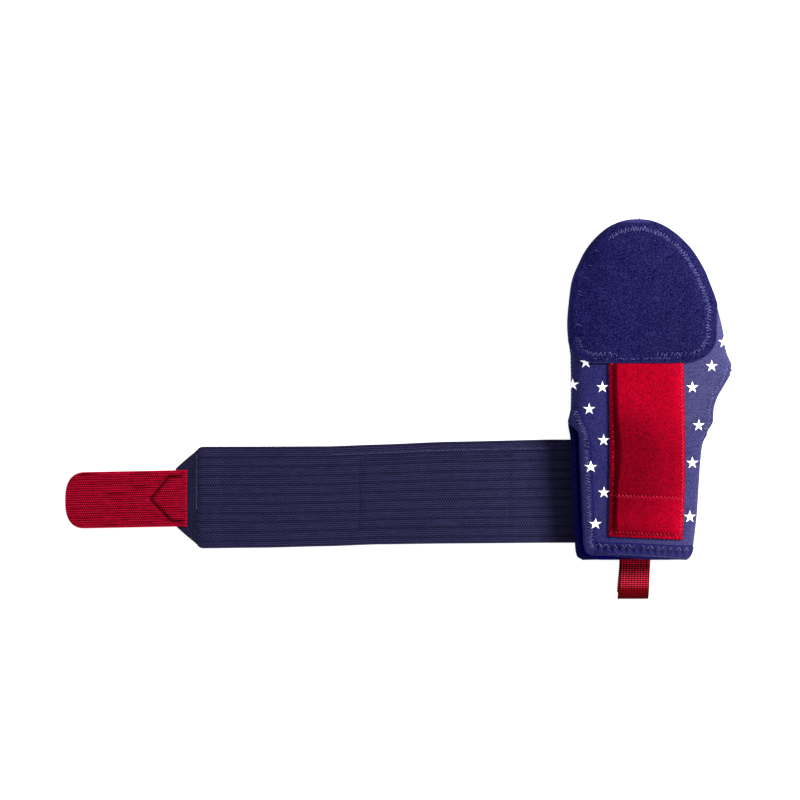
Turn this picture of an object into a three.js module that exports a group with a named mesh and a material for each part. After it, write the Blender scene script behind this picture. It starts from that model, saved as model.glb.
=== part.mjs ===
// A sliding mitt: a padded neoprene sleeve that closes over the fingertips and is open at the wrist,
// with a thumb opening on its right side, a slit on its left side, a wrist strap and a pull loop.
// It lies on its back. X runs across it, Y runs from the wrist to the fingertips, and Z is up.
// The origin is on the flat underside of the back panel.
import * as THREE from 'three';
import { mergeVertices } from 'three/addons/utils/BufferGeometryUtils.js';

// Sleeve, in millimetres
const MITT_LENGTH = 284.6; // wrist edge to fingertips
const MITT_WIDTH = 137; // the width that the shares in SECTIONS are taken of
const ORIGIN_FROM_WRIST = 184.8;
const BACK_DEPTH = 16; // underside to side seam
const FRONT_RISE = 18; // side seam to crown
const WALL = 4;
const SEAM_GAP = 0.3; // between two pieces that are sewn together
const CORNER_RADIUS = 14; // where the flat underside turns up to the side seam
const FRONT_SHORTER = 3.4; // the front panel stops this far from the wrist edge of the back
const BACK_BULGE = 2.6; // the back panel stands out this far beside the fingers
const CROWN_ROUNDNESS = 2.3; // 2 is an ellipse, more is squarer

// Openings
const THUMB_INSET = 12; // how far the opening's edge lies inside the sleeve's side
const THUMB_UNDERCUT = 1; // how much further in the back panel's edge lies
const THUMB_LENGTH = 58;
const THUMB_FROM_WRIST = 105;
const SLIT_INSET = 6.1;
const SLIT_LENGTH = 114; // from the wrist edge
const SLIT_CORNER = 11; // the length in which the slit opens to its full width

// Finger cap
const CAP_THICKNESS = 1.5;
const CAP_GAP = 0.45;
const CAP_FROM_WRIST = 165.5;
const CAP_CORNER_LEFT = 12.5;
const CAP_CORNER_RIGHT = 24;
const CAP_INSET = 4.4; // the cap stops this far from the sleeve's right side
const CAP_INSET_LENGTH = 54;

// Centre pad
const PAD_LEFT = 24.4; // from the middle line
const PAD_RIGHT = 39.2;
const PAD_FROM_WRIST = 18.5;
const PAD_CAP_GAP = 0.9; // between the pad and the cap's lower edge
const PAD_EDGE = 1.2;
const PAD_RISE = 4.6;
const PAD_FLANGE = 4.2; // the flat sewn edge
const PAD_SHOULDER = 11; // from the flange to the full height
const PAD_CREASE_FROM_WRIST = 53.5; // the row of stitches across it
const PAD_CREASE_DEPTH = 1.2;
const PAD_CREASE_WIDTH = 3.5;

// Hems, folded over the front panel's edges
const HEM_THICKNESS = 1.6;
const HEM_GAP = 0.45;
const SIDE_HEM_WIDTH = 10.3;
const SIDE_HEM_LENGTH = 122; // from the wrist edge
const WRIST_HEM_WIDTH = 12;
const THUMB_HEM_WIDTH = 5.6;

// Pull loop
const WEBBING_WIDTH = 25.7;
const WEBBING_THICKNESS = 1.2;
const LOOP_REACH = 32.8; // beyond the wrist edge
const LOOP_HEIGHT = 10.8;
const LOOP_SEWN_LENGTH = 11;
const LOOP_FROM_MIDDLE = -2.6;

// Wrist strap, its end piece, and the closure tab with its hook patch
const STRAP_LENGTH = 373.3;
const STRAP_WIDTH = 86;
const STRAP_THICKNESS = 2;
const STRAP_END_FROM_MIDDLE = 1.7; // the sewn end, under the back panel
const STRAP_FROM_WRIST = 57.8; // the strap's middle line at its sewn end
const STRAP_DROP = 5.3; // the free end lies this much nearer to the wrist
const STRAP_CORNER = 6;
const END_PIECE_THICKNESS = 1.2;
const END_PIECE_LENGTH = 31;
const END_PIECE_OVERLAP = 14; // under the strap
const END_PIECE_MARGIN = 2.2; // inside the strap's edges
const END_PIECE_TIP = 48; // its width at the tab
const RAMP_LENGTH = 9; // in which a layer climbs over another
const TAB_LENGTH = 102.5;
const TAB_WIDTH = 47.4;
const TAB_THICKNESS = 1.5;
const TAB_OVERLAP = 9.5; // on the end piece
const TAB_END_ROUND = 17;
const HOOK_MARGIN = 3.5;
const HOOK_CLEARANCE = 6; // between the hook patch and the end piece

// Sections of the sleeve from the wrist to the fingertips. along is a share of MITT_LENGTH, left
// and right of MITT_WIDTH from the middle line, crown of FRONT_RISE and belly of BACK_DEPTH.
const SECTIONS = [
  { along: 0.0, left: 0.337, right: 0.297, crown: 0.8, belly: 1 },
  { along: 0.007, left: 0.369, right: 0.316, crown: 0.81, belly: 1 },
  { along: 0.027, left: 0.384, right: 0.33, crown: 0.82, belly: 1 },
  { along: 0.059, left: 0.389, right: 0.34, crown: 0.84, belly: 1 },
  { along: 0.133, left: 0.396, right: 0.357, crown: 0.88, belly: 1 },
  { along: 0.221, left: 0.404, right: 0.369, crown: 0.93, belly: 1 },
  { along: 0.295, left: 0.41, right: 0.38, crown: 0.96, belly: 1 },
  { along: 0.342, left: 0.414, right: 0.394, crown: 0.98, belly: 1 },
  { along: 0.369, left: 0.419, right: 0.421, crown: 0.99, belly: 1 },
  { along: 0.387, left: 0.426, right: 0.462, crown: 0.99, belly: 1 },
  { along: 0.401, left: 0.43, right: 0.494, crown: 0.99, belly: 1 },
  { along: 0.419, left: 0.421, right: 0.515, crown: 1, belly: 1 },
  { along: 0.437, left: 0.414, right: 0.532, crown: 1, belly: 1 },
  { along: 0.472, left: 0.411, right: 0.564, crown: 1, belly: 1 },
  { along: 0.508, left: 0.411, right: 0.592, crown: 1, belly: 1 },
  { along: 0.54, left: 0.411, right: 0.598, crown: 1, belly: 1 },
  { along: 0.573, left: 0.413, right: 0.57, crown: 1, belly: 1 },
  { along: 0.614, left: 0.414, right: 0.536, crown: 1, belly: 1 },
  { along: 0.673, left: 0.418, right: 0.518, crown: 1, belly: 1 },
  { along: 0.744, left: 0.413, right: 0.483, crown: 0.99, belly: 1 },
  { along: 0.78, left: 0.407, right: 0.461, crown: 0.96, belly: 1 },
  { along: 0.815, left: 0.396, right: 0.433, crown: 0.92, belly: 1 },
  { along: 0.846, left: 0.376, right: 0.407, crown: 0.87, belly: 1 },
  { along: 0.874, left: 0.349, right: 0.376, crown: 0.81, belly: 1 },
  { along: 0.898, left: 0.324, right: 0.346, crown: 0.75, belly: 1 },
  { along: 0.918, left: 0.297, right: 0.316, crown: 0.69, belly: 1 },
  { along: 0.935, left: 0.27, right: 0.284, crown: 0.62, belly: 1 },
  { along: 0.949, left: 0.243, right: 0.254, crown: 0.56, belly: 0.98 },
  { along: 0.963, left: 0.212, right: 0.218, crown: 0.48, belly: 0.91 },
  { along: 0.975, left: 0.179, right: 0.181, crown: 0.41, belly: 0.8 },
  { along: 0.985, left: 0.141, right: 0.14, crown: 0.32, belly: 0.66 },
  { along: 0.993, left: 0.099, right: 0.097, crown: 0.23, belly: 0.48 },
  { along: 0.998, left: 0.053, right: 0.052, crown: 0.12, belly: 0.26 },
  { along: 1, left: 0, right: 0, crown: 0, belly: 0 },
];

// Edges of the strap. along is a share of STRAP_LENGTH from its sewn end, top and bottom shares of
// STRAP_WIDTH from its own middle line, which drops by a share of STRAP_DROP.
const STRAP_ROWS = [
  { along: 0, top: 0.505, bottom: 0.505, drop: 0 },
  { along: 0.2, top: 0.505, bottom: 0.505, drop: 0.02 },
  { along: 0.43, top: 0.497, bottom: 0.5, drop: 0.22 },
  { along: 0.59, top: 0.488, bottom: 0.49, drop: 0.52 },
  { along: 0.7, top: 0.488, bottom: 0.49, drop: 0.8 },
  { along: 0.85, top: 0.494, bottom: 0.496, drop: 0.95 },
  { along: 0.945, top: 0.496, bottom: 0.499, drop: 1 },
];

const WRIST_Y = -ORIGIN_FROM_WRIST;
const LAYER_LIFT = STRAP_THICKNESS + SEAM_GAP; // the back panel's underside above the strap
const ACROSS = 24; // columns of a section
const CORNER_STEPS = 5;
const FLAT_STEPS = 8;

const clamp = (value) => Math.min(1, Math.max(0, value));
const mix = (a, b, share) => a + (b - a) * share;
const ease = (share) => clamp(share) ** 2 * (3 - 2 * clamp(share));
const steps = (count) => Array.from({ length: count + 1 }, (_, index) => index / count);

const NEOPRENE = new THREE.MeshStandardMaterial({ color: 0x3c3a68, roughness: 0.85, metalness: 0 });
const LOOP_FABRIC = new THREE.MeshStandardMaterial({ color: 0x222057, roughness: 0.95, metalness: 0 });
const RED_NAP = new THREE.MeshStandardMaterial({ color: 0xa8041f, roughness: 0.9, metalness: 0 });
const RED_WEBBING = new THREE.MeshStandardMaterial({ color: 0x921a2c, roughness: 0.8, metalness: 0 });
const ELASTIC = new THREE.MeshStandardMaterial({ color: 0x2e2d4a, roughness: 0.9, metalness: 0 });
const HOOKS = new THREE.MeshStandardMaterial({ color: 0x1c1b33, roughness: 0.7, metalness: 0 });

// Geometry helpers

// One closed solid between two grids of points with the same rows and columns.
function solidBetween(outer, inner) {
  const rows = outer.length - 1;
  const columns = outer[0].length - 1;
  const positions = [];
  const triangle = (...points) => {
    const apart = (a, b) => a.distanceTo(b) > 1e-3;
    const [a, b, c] = points;
    if (apart(a, b) && apart(b, c) && apart(c, a)) {
      points.forEach((point) => positions.push(point.x, point.y, point.z));
    }
  };
  const quad = (a, b, c, d) => {
    triangle(a, b, c);
    triangle(a, c, d);
  };
  for (let i = 0; i < rows; i += 1) {
    for (let j = 0; j < columns; j += 1) {
      quad(outer[i][j], outer[i + 1][j], outer[i + 1][j + 1], outer[i][j + 1]);
      quad(inner[i][j], inner[i][j + 1], inner[i + 1][j + 1], inner[i + 1][j]);
    }
    quad(outer[i][0], inner[i][0], inner[i + 1][0], outer[i + 1][0]);
    quad(outer[i][columns], outer[i + 1][columns], inner[i + 1][columns], inner[i][columns]);
  }
  for (let j = 0; j < columns; j += 1) {
    quad(outer[0][j], outer[0][j + 1], inner[0][j + 1], inner[0][j]);
    quad(outer[rows][j], inner[rows][j], inner[rows][j + 1], outer[rows][j + 1]);
  }
  const loose = new THREE.BufferGeometry();
  loose.setAttribute('position', new THREE.Float32BufferAttribute(positions, 3));
  return facingOut(mergeVertices(loose, 1e-4));
}

function facingOut(geometry) {
  const corners = [0, 1, 2].map(() => new THREE.Vector3());
  const index = geometry.index.array;
  let volume = 0;
  for (let k = 0; k < index.length; k += 3) {
    corners.forEach((corner, c) => corner.fromBufferAttribute(geometry.attributes.position, index[k + c]));
    volume += corners[0].dot(corners[1].clone().cross(corners[2]));
  }
  if (volume < 0) {
    for (let k = 0; k < index.length; k += 3) {
      [index[k + 1], index[k + 2]] = [index[k + 2], index[k + 1]];
    }
  }
  geometry.computeVertexNormals();
  return geometry;
}

function piece(name, geometry, material) {
  const mesh = new THREE.Mesh(geometry, material);
  mesh.name = name;
  return mesh;
}

// A flat piece: a closed outline in X and Y, from the height bottom upwards.
function flatPiece(name, outline, bottom, thickness, material) {
  const shape = new THREE.Shape(outline.map(([x, y]) => new THREE.Vector2(x, y)));
  const geometry = new THREE.ExtrudeGeometry(shape, { depth: thickness, bevelEnabled: false });
  geometry.translate(0, 0, bottom);
  return piece(name, geometry, material);
}

// Sleeve

// The sleeve's half widths, crown and belly at a place along it. Squares are mixed, so that the
// closed end stays round between two rows.
function sectionAt(along) {
  const upper = Math.max(1, SECTIONS.findIndex((row) => row.along >= along - 1e-9));
  const [a, b] = [SECTIONS[upper - 1], SECTIONS[upper]];
  const share = clamp((along - a.along) / (b.along - a.along));
  const column = (name) => Math.sqrt(mix(a[name] ** 2, b[name] ** 2, share));
  return {
    left: column('left') * MITT_WIDTH,
    right: column('right') * MITT_WIDTH,
    rise: column('crown') * FRONT_RISE,
    belly: column('belly'),
  };
}

const alongAt = (fromWrist) => fromWrist / MITT_LENGTH;

function thumbShare(along) {
  return Math.sin(Math.PI * clamp((along * MITT_LENGTH - THUMB_FROM_WRIST) / THUMB_LENGTH));
}

function slitShare(along) {
  return Math.sin((Math.PI / 2) * clamp((SLIT_LENGTH - along * MITT_LENGTH) / SLIT_CORNER));
}

function bulgeShare(along) {
  return Math.sin(Math.PI * clamp((along - 0.6) / 0.22));
}

// The angle of the crown's curve at a distance from the middle line.
function crownAngle(distance, half) {
  return half > 0 ? Math.acos(clamp(distance / half) ** (CROWN_ROUNDNESS / 2)) : 0;
}

function crownRange(along) {
  const { left, right } = sectionAt(along);
  return {
    from: crownAngle(right - THUMB_INSET * thumbShare(along), right),
    to: Math.PI - crownAngle(left - SLIT_INSET * slitShare(along), left),
  };
}

function crownAngleAtX(along, x) {
  const { left, right } = sectionAt(along);
  return x >= 0 ? crownAngle(x, right) : Math.PI - crownAngle(-x, left);
}

const insetOf = (size, wall, most) => size - Math.min(wall, size * most);

// A point of the front panel, on its outer face or a wall's thickness inside.
function crownPoint(along, angle, wall = 0) {
  const { left, right, rise } = sectionAt(along);
  const half = insetOf(Math.cos(angle) >= 0 ? right : left, wall, 0.35);
  const power = (value) => Math.sign(value) * Math.abs(value) ** (2 / CROWN_ROUNDNESS);
  return new THREE.Vector3(
    half * power(Math.cos(angle)),
    WRIST_Y + FRONT_SHORTER + along * (MITT_LENGTH - FRONT_SHORTER - wall),
    BACK_DEPTH + SEAM_GAP / 2 + insetOf(rise, wall, 0.45) * power(Math.sin(angle)),
  );
}

// A point that lies off the front panel's outer face by a lift.
function aboveCrown(along, angle, lift) {
  const small = 1e-3;
  const point = crownPoint(along, angle);
  const around = crownPoint(along, angle + small).sub(crownPoint(along, angle - small));
  const back = crownPoint(Math.max(0, along - small), angle);
  const forward = crownPoint(Math.min(1, along + small), angle);
  const normal = forward.sub(back).cross(around).normalize();
  if (along > 1 - small) {
    normal.set(0, 1, 0);
  }
  return point.addScaledVector(normal, lift);
}

function frontPanel() {
  const grid = (wall) => SECTIONS.map(({ along }) => {
    const { from, to } = crownRange(along);
    return steps(ACROSS).map((share) => crownPoint(along, mix(from, to, share), wall));
  });
  return piece('front_panel', solidBetween(grid(0), grid(WALL)), NEOPRENE);
}

// The height of the back panel's underside: flat, and over the strap near the wrist.
function undersideAt(y) {
  const strapTop = WRIST_Y + STRAP_FROM_WRIST + STRAP_WIDTH * STRAP_ROWS[0].top;
  return LAYER_LIFT * ease((strapTop + 2 + RAMP_LENGTH - y) / RAMP_LENGTH);
}

// A row of points around the back panel, from its right edge under the sleeve to its left edge.
function backRow(along, wall) {
  const section = sectionAt(along);
  const right = insetOf(section.right, wall, 0.35);
  const left = insetOf(section.left + BACK_BULGE * bulgeShare(along), wall, 0.35);
  const y = WRIST_Y + along * (MITT_LENGTH - wall);
  const seam = BACK_DEPTH - SEAM_GAP / 2;
  const depth = insetOf((seam - undersideAt(y)) * section.belly, wall, 0.45);
  const corner = (half) => Math.min(CORNER_RADIUS - wall, half * 0.9);
  const thumbInset = (THUMB_INSET + THUMB_UNDERCUT) * thumbShare(along);
  const start = Math.acos(clamp(1 - thumbInset / CORNER_RADIUS));
  const turn = (half, side, angle) => new THREE.Vector3(
    side * (half - corner(half) * (1 - Math.cos(angle))),
    y,
    seam - depth * Math.sin(angle),
  );
  const rightCorner = steps(CORNER_STEPS).map((share) => turn(right, 1, mix(start, Math.PI / 2, share)));
  const leftCorner = steps(CORNER_STEPS).map((share) => turn(left, -1, mix(Math.PI / 2, 0, share)));
  const flat = steps(FLAT_STEPS).slice(1, -1).map((share) => new THREE.Vector3().lerpVectors(
    rightCorner[CORNER_STEPS],
    leftCorner[0],
    share,
  ));
  return [...rightCorner, ...flat, ...leftCorner];
}

function backPanel() {
  const grid = (wall) => SECTIONS.map(({ along }) => backRow(along, wall));
  return piece('back_panel', solidBetween(grid(0), grid(WALL)), NEOPRENE);
}

// Pieces on the front panel

function fingerCap() {
  const start = alongAt(CAP_FROM_WRIST);
  const middle = SECTIONS.map((row) => row.along).filter((along) => along > start + 0.01);
  const rows = [start, ...middle].map((along) => (along - start) / (1 - start));
  // How far a rounded lower corner lifts the cap's edge at a distance from the middle line.
  const cornerLift = (distance, half, radius) => {
    const into = clamp((distance - (half - radius)) / radius);
    return (radius / MITT_LENGTH) * (1 - Math.sqrt(1 - into ** 2));
  };
  const grid = (lift) => rows.map((row) => steps(ACROSS).map((share) => {
    const section = sectionAt(start);
    const spread = Math.cos(Math.PI * share);
    const half = spread >= 0 ? section.right : section.left;
    const radius = spread >= 0 ? CAP_CORNER_RIGHT : CAP_CORNER_LEFT;
    const distance = half * Math.abs(spread) ** (2 / CROWN_ROUNDNESS);
    const along = mix(start + cornerLift(distance, half, radius), 1, row);
    const inset = CAP_INSET * (1 - ease((along - start) * MITT_LENGTH / CAP_INSET_LENGTH));
    const from = crownAngle(sectionAt(along).right - inset, sectionAt(along).right);
    return aboveCrown(along, mix(from, Math.PI, share), lift);
  }));
  return piece('finger_cap', solidBetween(grid(CAP_GAP + CAP_THICKNESS), grid(CAP_GAP)), LOOP_FABRIC);
}

function centrePad() {
  const top = CAP_FROM_WRIST - PAD_CAP_GAP;
  const across = PAD_LEFT + PAD_RIGHT;
  const length = top - PAD_FROM_WRIST;
  const cross = [0, 0.03, 0.07, 0.12, 0.18, 0.25, 0.38, 0.5, 0.62, 0.75, 0.82, 0.88, 0.93, 0.97, 1];
  const lengthwise = [...steps(24).slice(0, -1), 0.985, 1];
  const shoulder = (distance) => ease((distance - PAD_FLANGE) / PAD_SHOULDER);
  const thickness = (across01, along01) => {
    const side = Math.min(across01, 1 - across01) * across;
    const crease = Math.exp(-(((along01 * length + PAD_FROM_WRIST - PAD_CREASE_FROM_WRIST)
      / PAD_CREASE_WIDTH) ** 2));
    const fullness = shoulder(side) * shoulder(along01 * length);
    return mix(PAD_EDGE, PAD_RISE - PAD_CREASE_DEPTH * crease, fullness);
  };
  const grid = (onTop) => lengthwise.map((along01) => cross.map((across01) => {
    const along = alongAt(PAD_FROM_WRIST + along01 * length - FRONT_SHORTER);
    const x = PAD_RIGHT - across01 * across;
    const lift = HEM_GAP + (onTop ? thickness(across01, along01) : 0);
    return aboveCrown(along, crownAngleAtX(along, x), lift);
  }));
  return piece('center_pad', solidBetween(grid(true), grid(false)), RED_NAP);
}

// The places along the mitt of a band's rows: its ends, and the sections between them.
function rowsBetween(fromWrist, toWrist) {
  const [first, last] = [alongAt(fromWrist), alongAt(toWrist)];
  const between = SECTIONS.map((row) => row.along).filter((along) => (
    along > first + 0.002 && along < last - 0.002
  ));
  const places = [first, ...between, last];
  return places.flatMap((along, index) => (index ? [mix(places[index - 1], along, 0.5), along] : [along]));
}

// A band on the front panel: rows of its place along the mitt and of its two edges' distances
// from the middle line.
function band(name, rows, columns, thickness) {
  const grid = (lift) => rows.map(({ along, start, end }) => {
    const [from, to] = [start, end].map((x) => crownAngleAtX(along, x));
    return steps(columns).map((share) => aboveCrown(along, mix(from, to, share), lift));
  });
  return piece(name, solidBetween(grid(HEM_GAP + thickness), grid(HEM_GAP)), NEOPRENE);
}

const slitEdge = (along) => -(sectionAt(along).left - SLIT_INSET * slitShare(along));
const thumbEdge = (along) => sectionAt(along).right - THUMB_INSET * thumbShare(along);

function sideHem() {
  const rows = rowsBetween(0, SIDE_HEM_LENGTH).map((along) => {
    const share = along * MITT_LENGTH / SIDE_HEM_LENGTH;
    const width = mix(SIDE_HEM_WIDTH, HEM_THICKNESS, share ** 12);
    const edge = Math.max(slitEdge(along), -sectionAt(along).left * 0.985);
    return { along, start: edge + width, end: edge };
  });
  return band('side_hem', rows, 4, HEM_THICKNESS);
}

function wristHem() {
  const rows = rowsBetween(0, WRIST_HEM_WIDTH).map((along) => ({
    along,
    start: sectionAt(along).right * 0.985,
    end: slitEdge(along) + SIDE_HEM_WIDTH + 2 * SEAM_GAP,
  }));
  return band('wrist_hem', rows, 18, HEM_THICKNESS);
}

function thumbHem() {
  const rows = rowsBetween(
    THUMB_FROM_WRIST + THUMB_LENGTH * 0.06,
    THUMB_FROM_WRIST + THUMB_LENGTH * 0.97,
  ).map((along) => {
    const edge = Math.min(thumbEdge(along), sectionAt(along).right * 0.985);
    return { along, start: edge, end: edge - THUMB_HEM_WIDTH };
  });
  return band('thumb_hem', rows, 3, HEM_THICKNESS);
}

// Pull loop: a strip of webbing that leaves the sleeve at the wrist, folds and comes back, with
// its two ends stacked on the back panel's inner face.
function pullLoop() {
  const half = WEBBING_THICKNESS / 2;
  const lower = LAYER_LIFT + WALL + SEAM_GAP + half;
  const upper = lower + WEBBING_THICKNESS + SEAM_GAP;
  const top = LOOP_HEIGHT - half;
  const reach = LOOP_REACH - half;
  const route = [
    { out: -LOOP_SEWN_LENGTH, height: lower },
    { out: reach * 0.05, height: lower },
    { out: reach * 0.28, height: mix(lower, half, 0.45) },
    { out: reach * 0.52, height: mix(lower, half, 0.95) },
    { out: reach * 0.8, height: half },
    { out: reach * 0.95, height: mix(half, top, 0.2) },
    { out: reach, height: mix(half, top, 0.5) },
    { out: reach * 0.94, height: mix(half, top, 0.84) },
    { out: reach * 0.75, height: top },
    { out: reach * 0.4, height: mix(upper, top, 0.75) },
    { out: reach * 0.05, height: upper + SEAM_GAP / 2 },
    { out: -LOOP_SEWN_LENGTH, height: upper },
  ].map(({ out, height }) => new THREE.Vector3(0, WRIST_Y - out, height));
  const curve = new THREE.CatmullRomCurve3(route, false, 'centripetal');
  const side = (offset) => steps(30).map((share) => {
    const point = curve.getPoint(share);
    const tangent = curve.getTangent(share);
    return new THREE.Vector3(0, point.y - tangent.z * offset, point.z + tangent.y * offset);
  });
  const across = [-WEBBING_WIDTH / 2, WEBBING_WIDTH / 2].map((x) => x + LOOP_FROM_MIDDLE);
  const grid = (offset) => side(offset).map((point) => across.map(
    (x) => new THREE.Vector3(x, point.y, Math.max(0, point.z)),
  ));
  return piece('pull_loop', solidBetween(grid(half), grid(-half)), RED_WEBBING);
}

// Strap and closure

const STRAP_START_X = STRAP_END_FROM_MIDDLE;
const STRAP_FREE_X = STRAP_START_X - STRAP_LENGTH;
const STRAP_MIDDLE_Y = WRIST_Y + STRAP_FROM_WRIST;
const END_PIECE_TOP = END_PIECE_THICKNESS + SEAM_GAP;
const FREE_MIDDLE_Y = STRAP_MIDDLE_Y - STRAP_DROP;
const END_PIECE_X = STRAP_FREE_X + END_PIECE_OVERLAP - END_PIECE_LENGTH;

function wristStrap() {
  const free = STRAP_ROWS[STRAP_ROWS.length - 1];
  const straight = STRAP_ROWS.map((row) => ({
    x: STRAP_START_X - row.along * STRAP_LENGTH,
    top: row.top * STRAP_WIDTH,
    bottom: row.bottom * STRAP_WIDTH,
    drop: row.drop * STRAP_DROP,
  }));
  // The climb over the end piece, then the two rounded corners of the free end.
  const climb = [0.3, 0.5, 0.7, 0.85, 1].map((share) => ({
    x: STRAP_FREE_X + END_PIECE_OVERLAP + SEAM_GAP + RAMP_LENGTH * (1.25 - share),
    top: free.top * STRAP_WIDTH,
    bottom: free.bottom * STRAP_WIDTH,
    drop: STRAP_DROP,
  }));
  const corner = [0, 0.35, 0.7, 0.92, 1].map((share) => {
    const cut = STRAP_CORNER * (1 - Math.sqrt(1 - share ** 2));
    return {
      x: STRAP_FREE_X + STRAP_CORNER * (1 - share),
      top: free.top * STRAP_WIDTH - cut * 0.98,
      bottom: free.bottom * STRAP_WIDTH - cut * 0.98,
      drop: STRAP_DROP,
    };
  });
  const rows = [...straight, ...climb, ...corner];
  const baseAt = (x) => END_PIECE_TOP * ease(
    (STRAP_FREE_X + END_PIECE_OVERLAP + SEAM_GAP + RAMP_LENGTH - x) / RAMP_LENGTH,
  );
  const grid = (height) => rows.map(({ x, top, bottom, drop }) => steps(4).map((share) => (
    new THREE.Vector3(x, STRAP_MIDDLE_Y - drop + mix(top, -bottom, share), baseAt(x) + height)
  )));
  return piece('wrist_strap', solidBetween(grid(STRAP_THICKNESS), grid(0)), ELASTIC);
}

function strapEnd() {
  const wide = STRAP_WIDTH / 2 - END_PIECE_MARGIN;
  const tip = END_PIECE_TIP / 2;
  const innerX = END_PIECE_X + END_PIECE_LENGTH;
  const shoulderX = STRAP_FREE_X + 1;
  const outline = [
    [innerX, wide],
    [shoulderX + 6, wide],
    [shoulderX, wide - 1.6],
    [END_PIECE_X + 2, tip + 1],
    [END_PIECE_X, tip],
    [END_PIECE_X, -tip],
    [END_PIECE_X + 2, -tip - 1],
    [shoulderX, 1.6 - wide],
    [shoulderX + 6, -wide],
    [innerX, -wide],
  ].map(([x, y]) => [x, FREE_MIDDLE_Y + y]);
  return flatPiece('strap_end', outline, 0, END_PIECE_THICKNESS, ELASTIC);
}

// A strip with square corners at the right and a rounded end at the left.
function tongueOutline(rightX, length, width, round) {
  const end = steps(12).map((share) => {
    const angle = Math.PI * (0.5 + share);
    const squared = (value) => Math.sign(value) * Math.abs(value) ** 0.8;
    return [
      rightX - length + round + round * squared(Math.cos(angle)),
      FREE_MIDDLE_Y + (width / 2) * squared(Math.sin(angle)),
    ];
  });
  return [[rightX, FREE_MIDDLE_Y + width / 2], ...end, [rightX, FREE_MIDDLE_Y - width / 2]];
}

function closureTab() {
  const outline = tongueOutline(END_PIECE_X + TAB_OVERLAP, TAB_LENGTH, TAB_WIDTH, TAB_END_ROUND);
  return flatPiece('closure_tab', outline, END_PIECE_TOP, TAB_THICKNESS, RED_WEBBING);
}

function hookPatch() {
  const length = TAB_LENGTH - TAB_OVERLAP - HOOK_CLEARANCE - HOOK_MARGIN;
  const outline = tongueOutline(
    END_PIECE_X - HOOK_CLEARANCE,
    length,
    TAB_WIDTH - 2 * HOOK_MARGIN,
    TAB_END_ROUND - HOOK_MARGIN,
  );
  return flatPiece('hook_patch', outline, 0, END_PIECE_THICKNESS, HOOKS);
}

const mitt = new THREE.Group();
mitt.add(
  frontPanel(),
  backPanel(),
  fingerCap(),
  centrePad(),
  sideHem(),
  wristHem(),
  thumbHem(),
  pullLoop(),
  wristStrap(),
  strapEnd(),
  closureTab(),
  hookPatch(),
);

export default mitt;
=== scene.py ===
"""Dresses a sliding mitt: a padded neoprene sleeve with a brushed finger cap, a raised pad,
stitched hems, a pull loop, and a wide elastic wrist strap with a closure tab."""
import bisect
import math
import random
from collections import namedtuple

import bmesh
import bpy
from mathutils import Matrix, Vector, kdtree, noise


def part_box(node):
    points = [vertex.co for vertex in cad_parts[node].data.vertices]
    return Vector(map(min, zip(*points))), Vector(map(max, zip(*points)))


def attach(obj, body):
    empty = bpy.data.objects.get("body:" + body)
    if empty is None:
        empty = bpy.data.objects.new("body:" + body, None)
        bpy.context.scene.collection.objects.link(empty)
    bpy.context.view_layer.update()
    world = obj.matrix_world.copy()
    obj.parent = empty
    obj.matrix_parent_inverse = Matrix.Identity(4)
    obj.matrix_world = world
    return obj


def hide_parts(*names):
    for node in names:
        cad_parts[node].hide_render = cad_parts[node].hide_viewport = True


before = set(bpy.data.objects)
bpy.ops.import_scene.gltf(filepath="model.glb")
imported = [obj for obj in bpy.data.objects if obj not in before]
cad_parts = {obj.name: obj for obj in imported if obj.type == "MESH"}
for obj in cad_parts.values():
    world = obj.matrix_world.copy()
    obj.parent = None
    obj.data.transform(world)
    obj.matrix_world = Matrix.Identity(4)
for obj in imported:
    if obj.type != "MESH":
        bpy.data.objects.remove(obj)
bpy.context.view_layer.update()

bl_info = {
    "name": "Sliding mitt",
    "version": (1, 0, 0),
    "blender": (4, 5, 0),
    "location": "View3D > Sidebar > Mitt",
    "description": "Builds the cloth, stitching and print of a sliding mitt around its solids",
    "category": "Object",
}

MM = 0.001
TURN = 2 * math.pi

# Places that come from the solids
BACK_LOW, BACK_HIGH = (Vector(corner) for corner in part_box("back_panel"))
FRONT_LOW, FRONT_HIGH = (Vector(corner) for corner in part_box("front_panel"))
CAP_LOW, _ = (Vector(corner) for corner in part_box("finger_cap"))
PAD_LOW, _ = (Vector(corner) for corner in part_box("center_pad"))
LOOP_LOW, LOOP_HIGH = (Vector(corner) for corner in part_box("pull_loop"))
STRAP_LOW, STRAP_HIGH = (Vector(corner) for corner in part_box("wrist_strap"))
END_LOW, END_HIGH = (Vector(corner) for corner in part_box("strap_end"))
TAB_LOW, TAB_HIGH = (Vector(corner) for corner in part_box("closure_tab"))
HOOK_LOW, HOOK_HIGH = (Vector(corner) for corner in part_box("hook_patch"))

WRIST_Y = BACK_LOW.y
LENGTH = BACK_HIGH.y - BACK_LOW.y
WIDTH = 137 * MM
FRONT_SHORTER = FRONT_LOW.y - WRIST_Y
SEAM_FRONT = FRONT_LOW.z
SEAM_BACK = BACK_HIGH.z
RISE = FRONT_HIGH.z - FRONT_LOW.z
ROUNDNESS = 2.3
CORNER_RADIUS = 14 * MM
BACK_BULGE = 2.6 * MM
BACK_BULGE_START = 0.6  # where it starts along the sleeve, and how far it goes, as shares
BACK_BULGE_LENGTH = 0.22
BACK_SIDE = 0.3  # the share of the back's width in each rounded side
STRAP_LIFT = 2.3 * MM

THUMB_INSET = 12 * MM
THUMB_LENGTH = 58 * MM
THUMB_FROM_WRIST = 105 * MM
SLIT_INSET = 8.2 * MM
SLIT_LENGTH = 114 * MM
SLIT_CORNER = 11 * MM

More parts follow.
